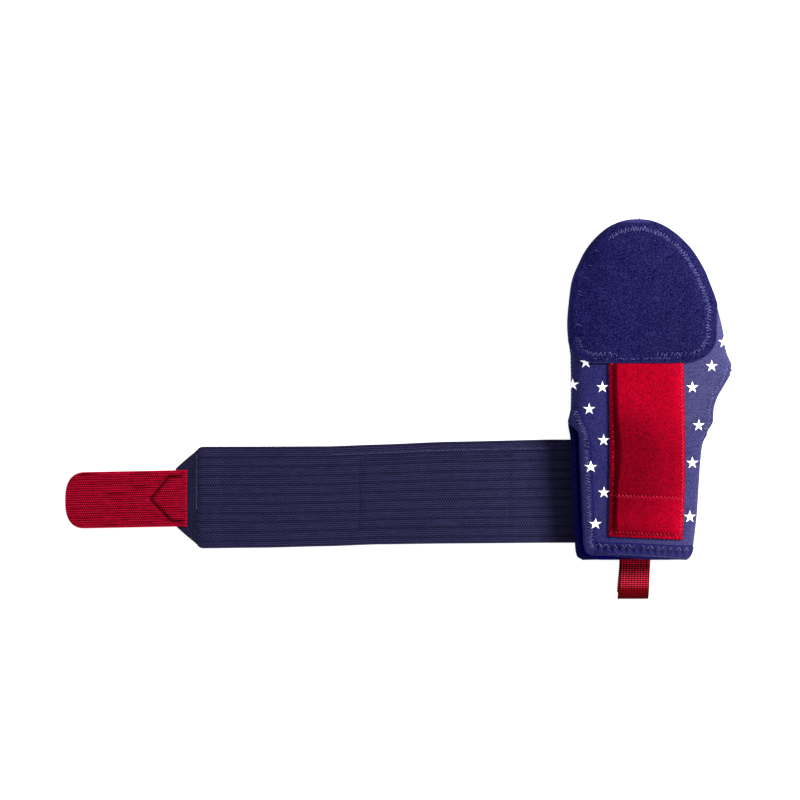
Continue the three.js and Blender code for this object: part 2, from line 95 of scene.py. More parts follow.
CAP_FROM_WRIST = 163.9 * MM
CAP_CORNER_LEFT = (21 * MM, 19.5 * MM)
CAP_CORNER_RIGHT = (28 * MM, 25 * MM)
CAP_REACH = 64.6 * MM
CAP_TOP = 2.2 * MM
CAP_EDGE_INSET = 1.6 * MM
CAP_RIM_LESS_BELOW = 2.2 * MM  # the bare rim is this much narrower at the bottom
CAP_RIM_LESS_RIGHT = 1.6 * MM  # and this much on the right
CAP_STITCH_INSET = 7.2 * MM
CAP_STITCH_PITCH = 2.75 * MM
HEM_GAP = 0.45 * MM
HEM_TOP = 1.75 * MM
SIDE_HEM_WIDTH = 8.6 * MM
SIDE_HEM_LENGTH = 124.6 * MM
SIDE_HEM_CURVE = 30.5 * MM
WRIST_HEM_WIDTH = 10.4 * MM
HEM_FILLET = 5 * MM
THUMB_HEM_WIDTH = 6.6 * MM
THUMB_HEM_TOP = 0.9 * MM
THUMB_STITCH_PITCH = 2.3 * MM
HEM_REACH = 0.985  # how near a hem comes to the sleeve's widest line, as a share
WRIST_SLANT = 3.2 * MM
WRIST_SLANT_LENGTH = 62 * MM

PAD_LEFT = 25.2 * MM
PAD_RIGHT = 37.2 * MM
PAD_TOP = CAP_LOW.y - 2.1 * MM
PAD_BOTTOM = PAD_LOW.y + 0.8 * MM
PAD_CREASE_FROM_WRIST = 53.5 * MM
PAD_STITCH_PITCH = 3.1 * MM

# Thicknesses of the cloths, and of the threads on the strap and the tab
CAP_CLOTH = 1.4 * MM
PAD_CLOTH = 1.1 * MM
HEM_CLOTH = 0.7 * MM
LOOP_CLOTH = 1.1 * MM
STRAP_CLOTH = 1.0 * MM
END_CLOTH = 0.45 * MM
TAB_CLOTH = 1.2 * MM
HOOK_TAPE = 1.15 * MM
STAR_INK = 0.05 * MM
STRAP_THREAD = 0.34 * MM
BRIGHT_THREAD = 0.32 * MM
TAB_THREAD = 0.66 * MM

# The sleeve's sections, as shares of its length, width, crown height and depth
Section = namedtuple("Section", "along left right crown belly")
SECTIONS = [
    Section(0.0, 0.337, 0.297, 0.8, 1),
    Section(0.007, 0.369, 0.316, 0.81, 1),
    Section(0.027, 0.384, 0.33, 0.82, 1),
    Section(0.059, 0.389, 0.34, 0.84, 1),
    Section(0.133, 0.396, 0.357, 0.88, 1),
    Section(0.221, 0.404, 0.369, 0.93, 1),
    Section(0.295, 0.41, 0.38, 0.96, 1),
    Section(0.342, 0.414, 0.394, 0.98, 1),
    Section(0.369, 0.419, 0.421, 0.99, 1),
    Section(0.387, 0.426, 0.462, 0.99, 1),
    Section(0.401, 0.43, 0.494, 0.99, 1),
    Section(0.419, 0.421, 0.515, 1, 1),
    Section(0.437, 0.414, 0.532, 1, 1),
    Section(0.472, 0.411, 0.564, 1, 1),
    Section(0.508, 0.411, 0.592, 1, 1),
    Section(0.54, 0.411, 0.598, 1, 1),
    Section(0.573, 0.413, 0.57, 1, 1),
    Section(0.614, 0.414, 0.536, 1, 1),
    Section(0.673, 0.418, 0.518, 1, 1),
    Section(0.744, 0.413, 0.483, 0.99, 1),
    Section(0.78, 0.407, 0.461, 0.96, 1),
    Section(0.815, 0.396, 0.433, 0.92, 1),
    Section(0.846, 0.376, 0.407, 0.87, 1),
    Section(0.874, 0.349, 0.376, 0.81, 1),
    Section(0.898, 0.324, 0.346, 0.75, 1),
    Section(0.918, 0.297, 0.316, 0.69, 1),
    Section(0.935, 0.27, 0.284, 0.62, 1),
    Section(0.949, 0.243, 0.254, 0.56, 0.98),
    Section(0.963, 0.212, 0.218, 0.48, 0.91),
    Section(0.975, 0.179, 0.181, 0.41, 0.8),
    Section(0.985, 0.141, 0.14, 0.32, 0.66),
    Section(0.993, 0.099, 0.097, 0.23, 0.48),
    Section(0.998, 0.053, 0.052, 0.12, 0.26),
    Section(1, 0, 0, 0, 0),
]
PLACES = [row.along for row in SECTIONS]

# Edges of the strap, as shares of its length from the sewn end and of its width
StrapRow = namedtuple("StrapRow", "along top bottom drop")
STRAP_ROWS = [
    StrapRow(0, 0.505, 0.505, 0),
    StrapRow(0.2, 0.505, 0.505, 0.02),
    StrapRow(0.43, 0.497, 0.5, 0.22),
    StrapRow(0.59, 0.488, 0.49, 0.52),
    StrapRow(0.7, 0.488, 0.49, 0.8),
    StrapRow(0.85, 0.494, 0.496, 0.95),
    StrapRow(1, 0.496, 0.499, 1),
]

# Where the printed stars lie on the front, in millimetres right of the middle line and up
# from the origin
STARS = [
    (-44.3, -18.9), (-54.9, -37.5), (-30.6, -39.7), (-41.5, -58.0), (-29.5, -84.0),
    (-39.9, -106.4), (-29.2, -127.9), (-36.1, -155.2), (60.9, -22.1), (44.6, -39.8),
    (50.0, -71.5), (44.7, -103.0), (42.7, -147.7), (71.4, -1.9),
]


def srgb(red, green, blue):
    """A colour of 0 to 255 a channel, as a linear one."""
    def linear(byte):
        share = byte / 255
        return share / 12.92 if share <= 0.04045 else ((share + 0.055) / 1.055) ** 2.4
    return (linear(red), linear(green), linear(blue))


def clamp(value, low=0.0, high=1.0):
    return min(high, max(low, value))


def mix(a, b, share):
    return a + (b - a) * share


def ease(share):
    share = clamp(share)
    return share * share * (3 - 2 * share)


def dome(share):
    """Rises steeply from 0, then rounds over to 1."""
    share = clamp(share)
    return math.sqrt(1 - (1 - share) ** 2)


def bell(distance, width):
    return math.exp(-((distance / width) ** 2))


def corner_fall(share):
    """How far a round corner has fallen away, a share of the way along it."""
    return 1 - math.sqrt(1 - share ** 2)


def crowded(share, power):
    """A share from 0 to 1, moved so that even steps crowd towards 1."""
    return 1 - (1 - share) ** power


def wave(at, pitch):
    """A wave between 0 and 1 that is highest at each pitch."""
    return 0.5 + 0.5 * math.cos(TURN * at / pitch)


# Sizes and colours that a user would change

def size_of(name, words, default):
    return bpy.props.FloatProperty(
        name=name, description=words, default=default * MM, unit="LENGTH", precision=5
    )


def colour_of(name, words, default):
    return bpy.props.FloatVectorProperty(
        name=name, description=words, default=srgb(*default), subtype="COLOR", min=0, max=1
    )


class MittSizes(bpy.types.PropertyGroup):
    wall: size_of("Wall", "Thickness of the neoprene", 4)
    edge_round: size_of("Edge round", "Rounding of the neoprene's cut edges", 1.3)
    pad_edge: size_of("Pad edge", "Height of the pad's sewn edge", 1.3)
    pad_rise: size_of("Pad rise", "Height of the pad", 4.9)
    thread: size_of("Thread", "Diameter of the sewing thread", 0.58)
    star: size_of("Star", "Width of a printed star", 9.9)
    rib: size_of("Rib", "Spacing of the elastic's ribs", 1.76)
    tab_rib: size_of("Tab rib", "Spacing of the tab's ribs", 1.9)
    loop_rib: size_of("Loop rib", "Spacing of the pull loop's ribs", 1.68)


class MittColours(bpy.types.PropertyGroup):
    neoprene: colour_of("Neoprene", "The sleeve's jersey face", (43, 42, 84))
    # Painted shade: the back's deeper navy stands for its edges seen in shade.
    back: colour_of("Back", "The sleeve's back, in a deeper navy", (18, 15, 80))
    lining: colour_of("Lining", "The sleeve's inside", (8, 5, 140))
    loops: colour_of("Loop fabric", "The finger cap", (9, 6, 56))
    loops_light: colour_of("Loop tips", "Light tips of the cap's loops", (57, 55, 106))
    nap: colour_of("Nap", "The pad's brushed face", (158, 1, 28))
    webbing: colour_of("Webbing", "The pull loop", (150, 10, 34))
    tab: colour_of("Tab", "The closure tab", (128, 2, 24))
    elastic: colour_of("Elastic", "The wrist strap", (34, 33, 59))
    print: colour_of("Print", "The stars", (250, 250, 252))


# Materials

class Value:
    """A socket in a material. Arithmetic on it adds Math nodes."""

    def __init__(self, finish, socket):
        self.finish = finish
        self.socket = socket

    def math(self, operation, *values):
        return self.finish.add(
            "ShaderNodeMath", {"operation": operation}, dict(enumerate(values))
        )

    def __add__(self, other):
        return self.math("ADD", self, other)

    __radd__ = __add__

    def __sub__(self, other):
        return self.math("SUBTRACT", self, other)

    def __rsub__(self, other):
        return self.math("SUBTRACT", other, self)

    def __mul__(self, other):
        return self.math("MULTIPLY", self, other)

    __rmul__ = __mul__

    def __truediv__(self, other):
        return self.math("DIVIDE", self, other)

    def sine(self):
        return self.math("SINE", self)

    def wave(self, pitch, shift=0.0):
        """A wave between 0 and 1 along the value, shifted by an angle."""
        return (self * (TURN / pitch) + shift).sine() * 0.5 + 0.5

    def from_to(self, low, high):
        """0 where the value is low, 1 where it is high, and eased between."""
        return self.finish.add(
            "ShaderNodeMapRange", {"interpolation_type": "SMOOTHSTEP"},
            {"Value": self, "From Min": low, "From Max": high},
        )


class Finish:
    """A material under construction, around one Principled BSDF."""

    def __init__(self, name, roughness, specular=0.09, sheen=0.0, sheen_tint=(1, 1, 1)):
        self.material = bpy.data.materials.new(name)
        self.material.use_nodes = True
        self.tree = self.material.node_tree
        self.shader = self.tree.nodes["Principled BSDF"]
        self.shader.inputs["Roughness"].default_value = roughness
        self.shader.inputs["Specular IOR Level"].default_value = specular
        self.shader.inputs["Sheen Weight"].default_value = sheen
        self.shader.inputs["Sheen Roughness"].default_value = 0.45
        self.shader.inputs["Sheen Tint"].default_value = (*sheen_tint, 1)

    def add(self, kind, settings, values, output=0):
        """A node of that kind, as the Value of one of its outputs."""
        node = self.tree.nodes.new(kind)
        for name, setting in settings.items():
            setattr(node, name, setting)
        for key, value in values.items():
            self.feed(node.inputs[key], value)
        return Value(self, node.outputs[output])

    def feed(self, socket, value):
        if isinstance(value, Value):
            self.tree.links.new(value.socket, socket)
        elif socket.type == "RGBA":
            socket.default_value = (*value, 1)
        else:
            socket.default_value = value

    def place(self):
        return self.add("ShaderNodeTexCoord", {}, {}, "Object")

    def chart(self):
        return self.add("ShaderNodeUVMap", {"uv_map": "cloth"}, {})

    def attribute(self, name):
        return self.add("ShaderNodeAttribute", {"attribute_name": name}, {}, "Fac")

    def parts(self, vector):
        return [self.add("ShaderNodeSeparateXYZ", {}, {0: vector}, axis) for axis in "XYZ"]

    def grain(self, vector, size, detail=2.0, roughness=0.5):
        return self.add(
            "ShaderNodeTexNoise", {},
            {"Vector": vector, "Scale": 1 / size, "Detail": detail, "Roughness": roughness},
        )

    def blend(self, mask, a, b):
        return self.add(
            "ShaderNodeMix", {"data_type": "RGBA"}, {0: mask, 6: a, 7: b}, 2
        )

    def stretched(self, vector, scale):
        return self.add(
            "ShaderNodeVectorMath", {"operation": "MULTIPLY"}, {0: vector, 1: scale}
        )

    def colour(self, value):
        self.feed(self.shader.inputs["Base Color"], value)

    def relief(self, height, depth):
        bump = self.add("ShaderNodeBump", {}, {"Height": height, "Distance": depth})
        self.feed(self.shader.inputs["Normal"], bump)

    def gloss(self, value):
        self.feed(self.shader.inputs["Roughness"], value)

    def glow(self, strength):
        self.feed(self.shader.inputs["Emission Color"], (1, 1, 1))
        self.feed(self.shader.inputs["Emission Strength"], strength)


def shade(colour, factor):
    return tuple(channel * factor for channel in colour)


def tint(colour, *factors):
    """A colour whose channels are each multiplied by a factor of their own."""
    return tuple(channel * factor for channel, factor in zip(colour, factors))


# Deep and light tones that the pits and fibres of the cloths tend to, and the dark tones of painted
# shade
NAVY_SHADE = (0.002, 0.002, 0.03)
NAVY_PIT = (0.004, 0.003, 0.04)
NAVY_FIBRE = (0.22, 0.215, 0.42)
SHADED_LIP_NAVY = (0.004, 0.003, 0.075)
RED_PIT = (0.03, 0.0, 0.002)
RED_FIBRE = (0.85, 0.006, 0.05)
RED_SEAM_SHADE = (0.045, 0.0, 0.002)
THIN_INK = (0.72, 0.72, 0.8)

KNIT_ROW = 1.7 * MM
KNIT_FIBRE = 1.35 * MM
LOOP_CURL = 0.95 * MM
LOOP_FINE = 0.56 * MM
NAP_FIBRE = 0.95 * MM
NAP_TUFT = 3.2 * MM
LOOP_BAR = 2.4 * MM
HOOK_PITCH = (1.4 * MM, 1.6 * MM)


def neoprene_finish(name, colour, contrast=1.0, sheen=0.05):
    """Fine jersey: short knit rows across the mitt and light fibres. Light and shade are painted
    into its colour: painted shade deepest at the left, painted light paler towards the thumb and
    lower down, and painted shade again low on the right. The seam attribute paints shade: above 0
    in creases where shade falls, and below 0 where a fold turns into the shade."""
    finish = Finish(name, 0.82, sheen * 0.6, sheen, (0.75, 0.75, 1))
    place = finish.place()
    x, y, _ = finish.parts(place)
    wander = finish.grain(place, 9 * MM, 1)
    rows = y.wave(KNIT_ROW, wander * 3)
    fibre = finish.grain(finish.stretched(place, (1.0, 1.4, 1.0)), KNIT_FIBRE, 3, 0.75)
    mottle = finish.grain(place, 14 * MM, 3)
    left_side, middle, right_side = -39 * MM, -20 * MM, 46 * MM
    lower = y.from_to(-58 * MM, -100 * MM)
    lowest = y.from_to(-100 * MM, -150 * MM)
    # Painted light and shade: deep at the left, which turns from the light, and pale towards the
    # thumb and lower down.
    painted_light = x.from_to(left_side, right_side) * (1 - lower * 0.45) + lowest * 0.2
    deep = tint(colour, 0.14, 0.12, 1.12)
    pale = tint(colour, 1.26, 1.24, 1.13)
    face = finish.blend(painted_light.from_to(0.0, 1.0), deep, pale)
    # Painted shade low on the right.
    face = finish.blend(lower * x.from_to(middle, right_side) * 0.34, face, NAVY_SHADE)
    light = (fibre * 1.1 + rows * 0.03 + mottle * 0.15).from_to(0.42, 0.8)
    dark = finish.blend(0.55 * contrast, face, NAVY_PIT)
    bright = finish.blend(0.15 * contrast, face, NAVY_FIBRE)
    cloth = finish.blend(light, dark, bright)
    # Painted shade in creases, and on folds that turn from the light.
    seam = finish.attribute("seam")
    creased = finish.blend(seam.from_to(0.0, 1.0), cloth, tint(colour, 0.22, 0.18, 0.6))
    turned = finish.blend(seam.from_to(0.0, -1.0), creased, tint(colour, 0.28, 0.24, 0.95))
    finish.colour(turned)
    finish.relief(fibre * 0.75 + rows * 0.25, 0.24 * MM)
    finish.gloss(0.72 + mottle * 0.2)
    return finish.material


def loop_finish(colours):
    """Brushed loop fabric: dark, with light loop tips scattered over it. Its rim is bare cloth,
    which the edge attribute, a distance from the rim, tells apart."""
    finish = Finish("loop_fabric", 0.9, 0.03)
    place = finish.place()
    x, _, _ = finish.parts(place)
    curls = finish.grain(place, LOOP_CURL, 2, 0.8)
    fine = finish.grain(place, LOOP_FINE, 2, 0.7)
    patches = finish.grain(place, 15 * MM, 2)
    inside = (finish.attribute("edge") + curls * 1.5 * MM).from_to(2.4 * MM, 4.2 * MM)
    tips = (curls * 0.42 + fine * 0.58 + patches * 0.06).from_to(0.52, 0.635)
    pits = (curls * 0.5 + fine * 0.5).from_to(0.36, 0.5)
    ground = finish.blend(pits, shade(colours.loops, 0.35), tuple(colours.loops))
    nap = finish.blend(tips, ground, tuple(colours.loops_light))
    light = colours.loops_light
    rim = finish.blend(fine.from_to(0.4, 0.65), shade(light, 0.5), shade(light, 1.15))
    # Painted light and shade across the cap: lighter and bluer at the left and far left, darker at
    # the right.
    to_right = x.from_to(-56 * MM, 56 * MM)
    far_left = x.from_to(-38 * MM, -54 * MM)

    def across(cloth, left, right):
        return finish.blend(to_right, finish.stretched(cloth, left), finish.stretched(cloth, right))

    face = across(nap, (0.84, 0.84, 1.06), (0.76, 0.76, 0.82))
    face = finish.blend(far_left, face, finish.stretched(nap, (1.5, 1.5, 1.9)))
    border = across(rim, (1.3, 1.3, 1.5), (0.62, 0.62, 0.68))
    finish.colour(finish.blend(inside, border, face))
    finish.relief((curls * 0.55 + fine * 0.45) * inside, 0.5 * MM)
    return finish.material


def nap_finish(colours):
    """Short red nap. Light and shade are painted into it: brushed patches are painted lighter and
    darker, and painted shade lies in a band across the pad's middle and over its lower left. Its
    seams get painted shade, which the seam attribute tells."""
    finish = Finish("red_nap", 0.9, 0.01)
    place = finish.place()
    x, y, _ = finish.parts(place)
    fibre = finish.grain(place, NAP_FIBRE, 3, 0.8)
    tufts = finish.grain(place, NAP_TUFT, 2, 0.6)
    brushed = finish.grain(finish.stretched(place, (1.0, 0.45, 1.0)), 24 * MM, 2, 0.5)
    band = y.from_to(-38 * MM, -95 * MM) * (1 - 0.5 * y.from_to(-118 * MM, -150 * MM))
    to_left = (x + 26 * MM).from_to(62 * MM, 0.0)
    # Painted shade: the nap is darker in the band, towards the left and in some brushed patches.
    painted_nap_shade = band * 0.6 + band * to_left * 0.4 + to_left * 0.15 + brushed * 0.4 - 0.2
    face = finish.blend(painted_nap_shade.from_to(0.0, 1.0), shade(colours.nap, 1.2), shade(colours.nap, 0.47))
    grains = (fibre * 0.85 + tufts * 0.15).from_to(0.36, 0.66)
    dark = finish.blend(0.66, face, RED_PIT)
    nap = finish.blend(grains, dark, finish.blend(0.12, face, RED_FIBRE))
    # Painted shade along the seams.
    finish.colour(finish.blend(finish.attribute("seam"), nap, RED_SEAM_SHADE))
    finish.relief(fibre * 0.75 + tufts * 0.25, 0.4 * MM)
    return finish.material


def ribbed_finish(name, colour, rib, dash, turned=False, band=0.0, streaks=0.0, shine=0.04):
    """Woven elastic: ribs in the cloth's own chart, whose threads show as short light dashes.
    Rows of dark dots run along it a band apart, and uneven dark streaks where asked."""
    finish = Finish(name, 0.8, shine)
    chart = finish.chart()
    u, v, _ = finish.parts(chart)
    along, side = (v, u) if turned else (u, v)
    run = (1.0, 0.06, 1.0) if turned else (0.06, 1.0, 1.0)
    drift = finish.grain(chart, 30 * MM, 1)
    row = (side / rib).math("FLOOR", side / rib)
    ribs = side.wave(rib, -math.pi / 2)
    dashes = along.wave(dash, row * (math.pi * 1.03) + drift * 5)
    fibre = finish.grain(chart, 0.95 * MM, 3, 0.8)
    lines = finish.grain(finish.stretched(chart, run), 1.5 * MM, 2, 0.7)
    blotch = finish.grain(chart, 6 * MM, 3, 0.6)
    light = ribs * (0.15 + dashes * 0.65) + fibre * 0.95 + lines * 0.45 + blotch * 0.35 - 0.7
    if band:
        sunk = (side * (TURN / band) + lines * 1.2).sine().from_to(0.45, 1.0)
        light = light - sunk * (1 - dashes) * (0.26 + blotch * 0.55)
        # Painted light near the sewn end, where the sleeve's shadow falls on the strap.
        light = light + (1 - along.from_to(30 * MM, 200 * MM)) * 0.1
    glint = 0.0
    if streaks:
        light = light - (1 - lines.from_to(0.34, 0.46)) * streaks * 0.65
        glint = 0.012
    red, green, blue = tint(colour, 2.3, 2.15, 2.2)
    cloth = finish.blend(
        light.from_to(0.0, 1.0), tint(colour, 0.32, 0.28, 0.42),
        (red + glint * 2, green + glint * 0.3, blue + glint),
    )
    edged = finish.blend(finish.attribute("rim"), cloth, shade(colour, 2.4))
    # Painted shade in the grooves of seams and stitches.
    finish.colour(finish.blend(finish.attribute("seam"), edged, shade(colour, 0.14)))
    finish.relief(ribs * 0.4 + dashes * ribs * 0.35 + fibre * 0.25, 0.3 * MM)
    return finish.material


def webbing_finish(name, colour, rib):
    """Coarse webbing: rows of thick bright threads, dashed across, with dark gaps between. Light
    and shade are painted on it: a painted highlight over its middle, painted shade along its left
    edge and where it turns under, and its root painted the dark navy of the sleeve's lip in shade."""
    finish = Finish(name, 0.55, 0.02)
    chart = finish.chart()
    u, v, _ = finish.parts(chart)
    _, y, _ = finish.parts(finish.place())
    ribs = v.wave(rib, math.pi / 2)
    bars = u.wave(LOOP_BAR, math.pi / 2)
    fibre = finish.grain(chart, 0.8 * MM, 3, 0.7)
    # Painted highlight: the webbing is lighter and pinker over its middle.
    wear_and_highlight = y.from_to(-185 * MM, -196 * MM) * y.from_to(-214 * MM, -206 * MM)
    light = ribs * (0.42 + bars * 0.52) + fibre * 0.3 + wear_and_highlight * 0.06
    # Painted shade along the webbing's left edge.
    light = light - (1 - u.from_to(0.0, 2.2 * MM)) * 0.35
    face = finish.blend(wear_and_highlight, shade(colour, 3.0), tint(colour, 2.2, 7, 3.2))
    rows = finish.blend(light.from_to(0.4, 0.85), shade(colour, 0.05), face)
    # Painted shade where the loop turns under at its far end.
    far_end = y.from_to(-205.5 * MM, -210 * MM)
    turned = finish.blend(far_end * 0.8, rows, tint(colour, 0.2, 0, 0))
    # Its root is painted the dark navy of the sleeve's lip in shade.
    root = y.from_to(-184.3 * MM, -184.0 * MM)
    finish.colour(finish.blend(root, turned, SHADED_LIP_NAVY))
    finish.relief(ribs * bars * 0.6 + fibre * 0.4, 0.2 * MM)
    return finish.material


def thread_finish(name, colour):
    """Twisted sewing thread."""
    finish = Finish(name, 0.6, 0.05)
    place = finish.place()
    ply = finish.grain(place, 0.5 * MM, 2)
    wear_and_highlight = finish.grain(place, 3 * MM, 2)
    tone = (ply * 0.4 + wear_and_highlight * 0.6).from_to(0.35, 0.65)
    finish.colour(finish.blend(tone, shade(colour, 0.5), shade(colour, 1.3)))
    finish.relief(ply, 0.1 * MM)
    return finish.material


def print_finish(colours):
    """White ink on jersey: the knit shows through it a little. A glow of painted light keeps it
    white on the shaded side too."""
    finish = Finish("star_ink", 0.7)
    # Painted light: the ink glows.
    finish.glow(0.5)
    fibre = finish.grain(finish.place(), 0.9 * MM, 3, 0.7)
    finish.colour(finish.blend(fibre.from_to(0.2, 0.42), THIN_INK, tuple(colours.print)))
    finish.relief(fibre, 0.08 * MM)
    return finish.material


def hook_finish():
    """Hook tape: rows of small stiff hooks."""
    finish = Finish("hook_tape", 0.45)
    x, y, _ = finish.parts(finish.place())
    stalks = (x * (TURN / HOOK_PITCH[0])).sine() * (y * (TURN / HOOK_PITCH[1])).sine()
    finish.colour(finish.blend(stalks.from_to(0.1, 0.7), srgb(14, 13, 34), srgb(44, 42, 78)))
    finish.relief(stalks, 0.5 * MM)
    return finish.material


THREADS = {
    "navy_thread": (88, 86, 138),
    "pale_thread": (96, 94, 146),
    "dark_thread": (44, 43, 80),
    "bright_thread": (104, 102, 144),
    "red_thread": (196, 28, 58),
    "tab_thread": (72, 0, 12),
}

# How each other material is made from the colours and sizes
MAKERS = {
    "neoprene": lambda colours, sizes: neoprene_finish("neoprene", tuple(colours.neoprene)),
    "lining": lambda colours, sizes: neoprene_finish("lining", tuple(colours.lining), 0.3, 0.0),
    "shaded_back_cloth": lambda colours, sizes: neoprene_finish(
        "shaded_back_cloth", tuple(colours.back), 0.4, 0.0),
    "loop_fabric": lambda colours, sizes: loop_finish(colours),
    "red_nap": lambda colours, sizes: nap_finish(colours),
    "elastic": lambda colours, sizes: ribbed_finish(
        "elastic", tuple(colours.elastic), sizes.rib, 2.2 * MM, band=7.9 * MM),
    "end_cloth": lambda colours, sizes: ribbed_finish(
        "end_cloth", shade(colours.elastic, 0.72), 1.7 * MM, 2.3 * MM, turned=True),
    "tab_cloth": lambda colours, sizes: ribbed_finish(
        "tab_cloth", tuple(colours.tab), sizes.tab_rib, 1.75 * MM, streaks=0.45, shine=0.01),
    "webbing": lambda colours, sizes: webbing_finish(
        "webbing", tuple(colours.webbing), sizes.loop_rib),
    "star_ink": lambda colours, sizes: print_finish(colours),
    "hook_tape": lambda colours, sizes: hook_finish(),
}
FINISHES = {}


def finish_named(name):
    """The material of that name, made when a piece first asks for it."""
    if name not in FINISHES:
        scene = bpy.context.scene
        if name in THREADS:
            FINISHES[name] = thread_finish(name, srgb(*THREADS[name]))
        else:
            FINISHES[name] = MAKERS[name](scene.mitt_colours, scene.mitt_sizes)
    return FINISHES[name]


# The sleeve's surface

def column(name, along):
    """A column of SECTIONS at a place along the sleeve, on a smooth curve through its squares."""
    upper = clamp(bisect.bisect_left(PLACES, along), 1, len(PLACES) - 1)
    squares = [getattr(row, name) ** 2 for row in SECTIONS]
    low, high = upper - 1, upper

    def slope(i):
        before, after = max(0, i - 1), min(len(PLACES) - 1, i + 1)
        return (squares[after] - squares[before]) / (PLACES[after] - PLACES[before])

    step = PLACES[high] - PLACES[low]
    t = clamp((along - PLACES[low]) / step)
    value = (
        (2 * t ** 3 - 3 * t ** 2 + 1) * squares[low]
        + (t ** 3 - 2 * t ** 2 + t) * step * slope(low)
        + (3 * t ** 2 - 2 * t ** 3) * squares[high]
        + (t ** 3 - t ** 2) * step * slope(high)
    )
    return math.sqrt(max(0.0, value))


SECTION_CACHE = {}


def section(along):
    """Half widths, crown height and belly at a place along the sleeve."""
    key = round(along, 6)
    if key not in SECTION_CACHE:
        SECTION_CACHE[key] = (
            column("left", along) * WIDTH,
            column("right", along) * WIDTH,
            column("crown", along) * RISE,
            column("belly", along),
        )
    return SECTION_CACHE[key]


def thumb_share(along):
    return math.sin(math.pi * clamp((along * LENGTH - THUMB_FROM_WRIST) / THUMB_LENGTH))


def slit_share(along):
    return math.sin(math.pi / 2 * clamp((SLIT_LENGTH - along * LENGTH) / SLIT_CORNER))


def crown_angle(distance, half):
    return math.acos(clamp(distance / half) ** (ROUNDNESS / 2)) if half > 0 else 0.0


def crown_range(along):
    left, right, _, _ = section(along)
    return (
        crown_angle(right - THUMB_INSET * thumb_share(along), right),
        math.pi - crown_angle(left - SLIT_INSET * slit_share(along), left),
    )


def angle_at(along, x):
    left, right, _, _ = section(along)
    return crown_angle(x, right) if x >= 0 else math.pi - crown_angle(-x, left)


def signed_power(value):
    return math.copysign(abs(value) ** (2 / ROUNDNESS), value)


def wrist_slant(along, x):
    """How far the wrist's end of the front leans: up on the left, down on the right."""
    near = 1 - ease(along * LENGTH / WRIST_SLANT_LENGTH)
    return WRIST_SLANT * near * (0.6 - ease((x + 34 * MM) / (84 * MM)))


def y_of(along):
    """Where a place along the front lies, before the wrist's lean."""
    return WRIST_Y + FRONT_SHORTER + along * (LENGTH - FRONT_SHORTER)


def along_of(y):
    return clamp((y - WRIST_Y - FRONT_SHORTER) / (LENGTH - FRONT_SHORTER))


def crown_point(along, angle):
    left, right, rise, _ = section(along)
    half = right if math.cos(angle) >= 0 else left
    x = half * signed_power(math.cos(angle))
    return Vector((
        x,
        y_of(along) + wrist_slant(along, x),
        SEAM_FRONT + rise * signed_power(math.sin(angle)),
    ))


POLE_WAY = Vector((0, 0.9, 0.43))


def crown_normal(along, angle):
    """The way out of the face. Towards the closed end it turns to one way for all angles."""
    small = 1e-3
    at = min(along, 1 - 4 * small)
    around = crown_point(at, angle + small) - crown_point(at, angle - small)
    ahead = crown_point(at + small, angle) - crown_point(max(0, at - small), angle)
    normal = ahead.cross(around).normalized()
    return normal.lerp(POLE_WAY, clamp((along - at) / (4 * small))).normalized()


def on_crown(along, angle, lift):
    return crown_point(along, angle) + crown_normal(along, angle) * lift


def over(x, y, lift):
    """The point over the front panel at x and y, lifted off its face."""
    along = along_of(y)
    return on_crown(along, angle_at(along, x), lift)


def thumb_edge(along):
    return section(along)[1] - THUMB_INSET * thumb_share(along)


def slit_edge(along):
    return -(section(along)[0] - SLIT_INSET * slit_share(along))


def cap_half(along):
    """The cap's half width on the right, where it stops short of the sleeve's bulge."""
    return min(section(along)[1] - 1.2 * MM, CAP_REACH)


def cap_corner(distance, half, sides):
    """How far the cap's lower edge has risen, near a side, round its corner."""
    across, up = sides
    into = clamp((distance - (half - across)) / across)
    return up * corner_fall(into)


def rumple(point, size, height):
    """A gentle unevenness of soft cloth."""
    return height * noise.noise(point / size)


def front_rumple(point):
    return rumple(point, 30 * MM, 0.3 * MM)


# Meshes

def new_piece(name, bm, materials, smooth=True):
    """A bmesh as an object at the origin, with its materials."""
    mesh = bpy.data.meshes.new(name)
    bm.to_mesh(mesh)
    bm.free()
    piece = bpy.data.objects.new(name, mesh)
    bpy.context.scene.collection.objects.link(piece)
    for material in materials:
        mesh.materials.append(finish_named(material))
    if smooth:
        mesh.shade_smooth()
    return piece


def cloth_grid(columns, rows, place, chart=None, marked=None):
    """A sheet: place gives each point from its shares across and along, chart its own X and Y
    in the flat cloth. The pole of a closed end is merged. Where the sheet is marked, place also
    gives each point's number, which the materials read under that name."""
    bm = bmesh.new()
    bmesh.ops.create_grid(bm, x_segments=columns, y_segments=rows, size=0.5)
    numbers = bm.verts.layers.float.new(marked) if marked else None
    shares = {vert: (vert.co.x + 0.5, vert.co.y + 0.5) for vert in bm.verts}
    layer = bm.loops.layers.uv.new("cloth")
    for face in bm.faces:
        for loop in face.loops:
            across, along = shares[loop.vert]
            loop[layer].uv = chart(across, along) if chart else (across, along)
    for vert, (across, along) in shares.items():
        if marked:
            vert.co, vert[numbers] = place(across, along)
        else:
            vert.co = place(across, along)
    bmesh.ops.remove_doubles(bm, verts=bm.verts[:], dist=2e-6)
    return bm


def mark(bm, name, value_at):
    """Gives each vertex a number that the materials read under that name."""
    layer = bm.verts.layers.float.new(name)
    for vert in bm.verts:
        vert[layer] = value_at(vert.co)


def face_towards(bm, outward):
    """Turns a sheet's faces to the side that outward names for a point."""
    bm.normal_update()
    agree = sum(face.normal.dot(outward(face.calc_center_median())) * face.calc_area()
                for face in bm.faces)
    if agree < 0:
        bmesh.ops.reverse_faces(bm, faces=bm.faces[:])
    bm.normal_update()


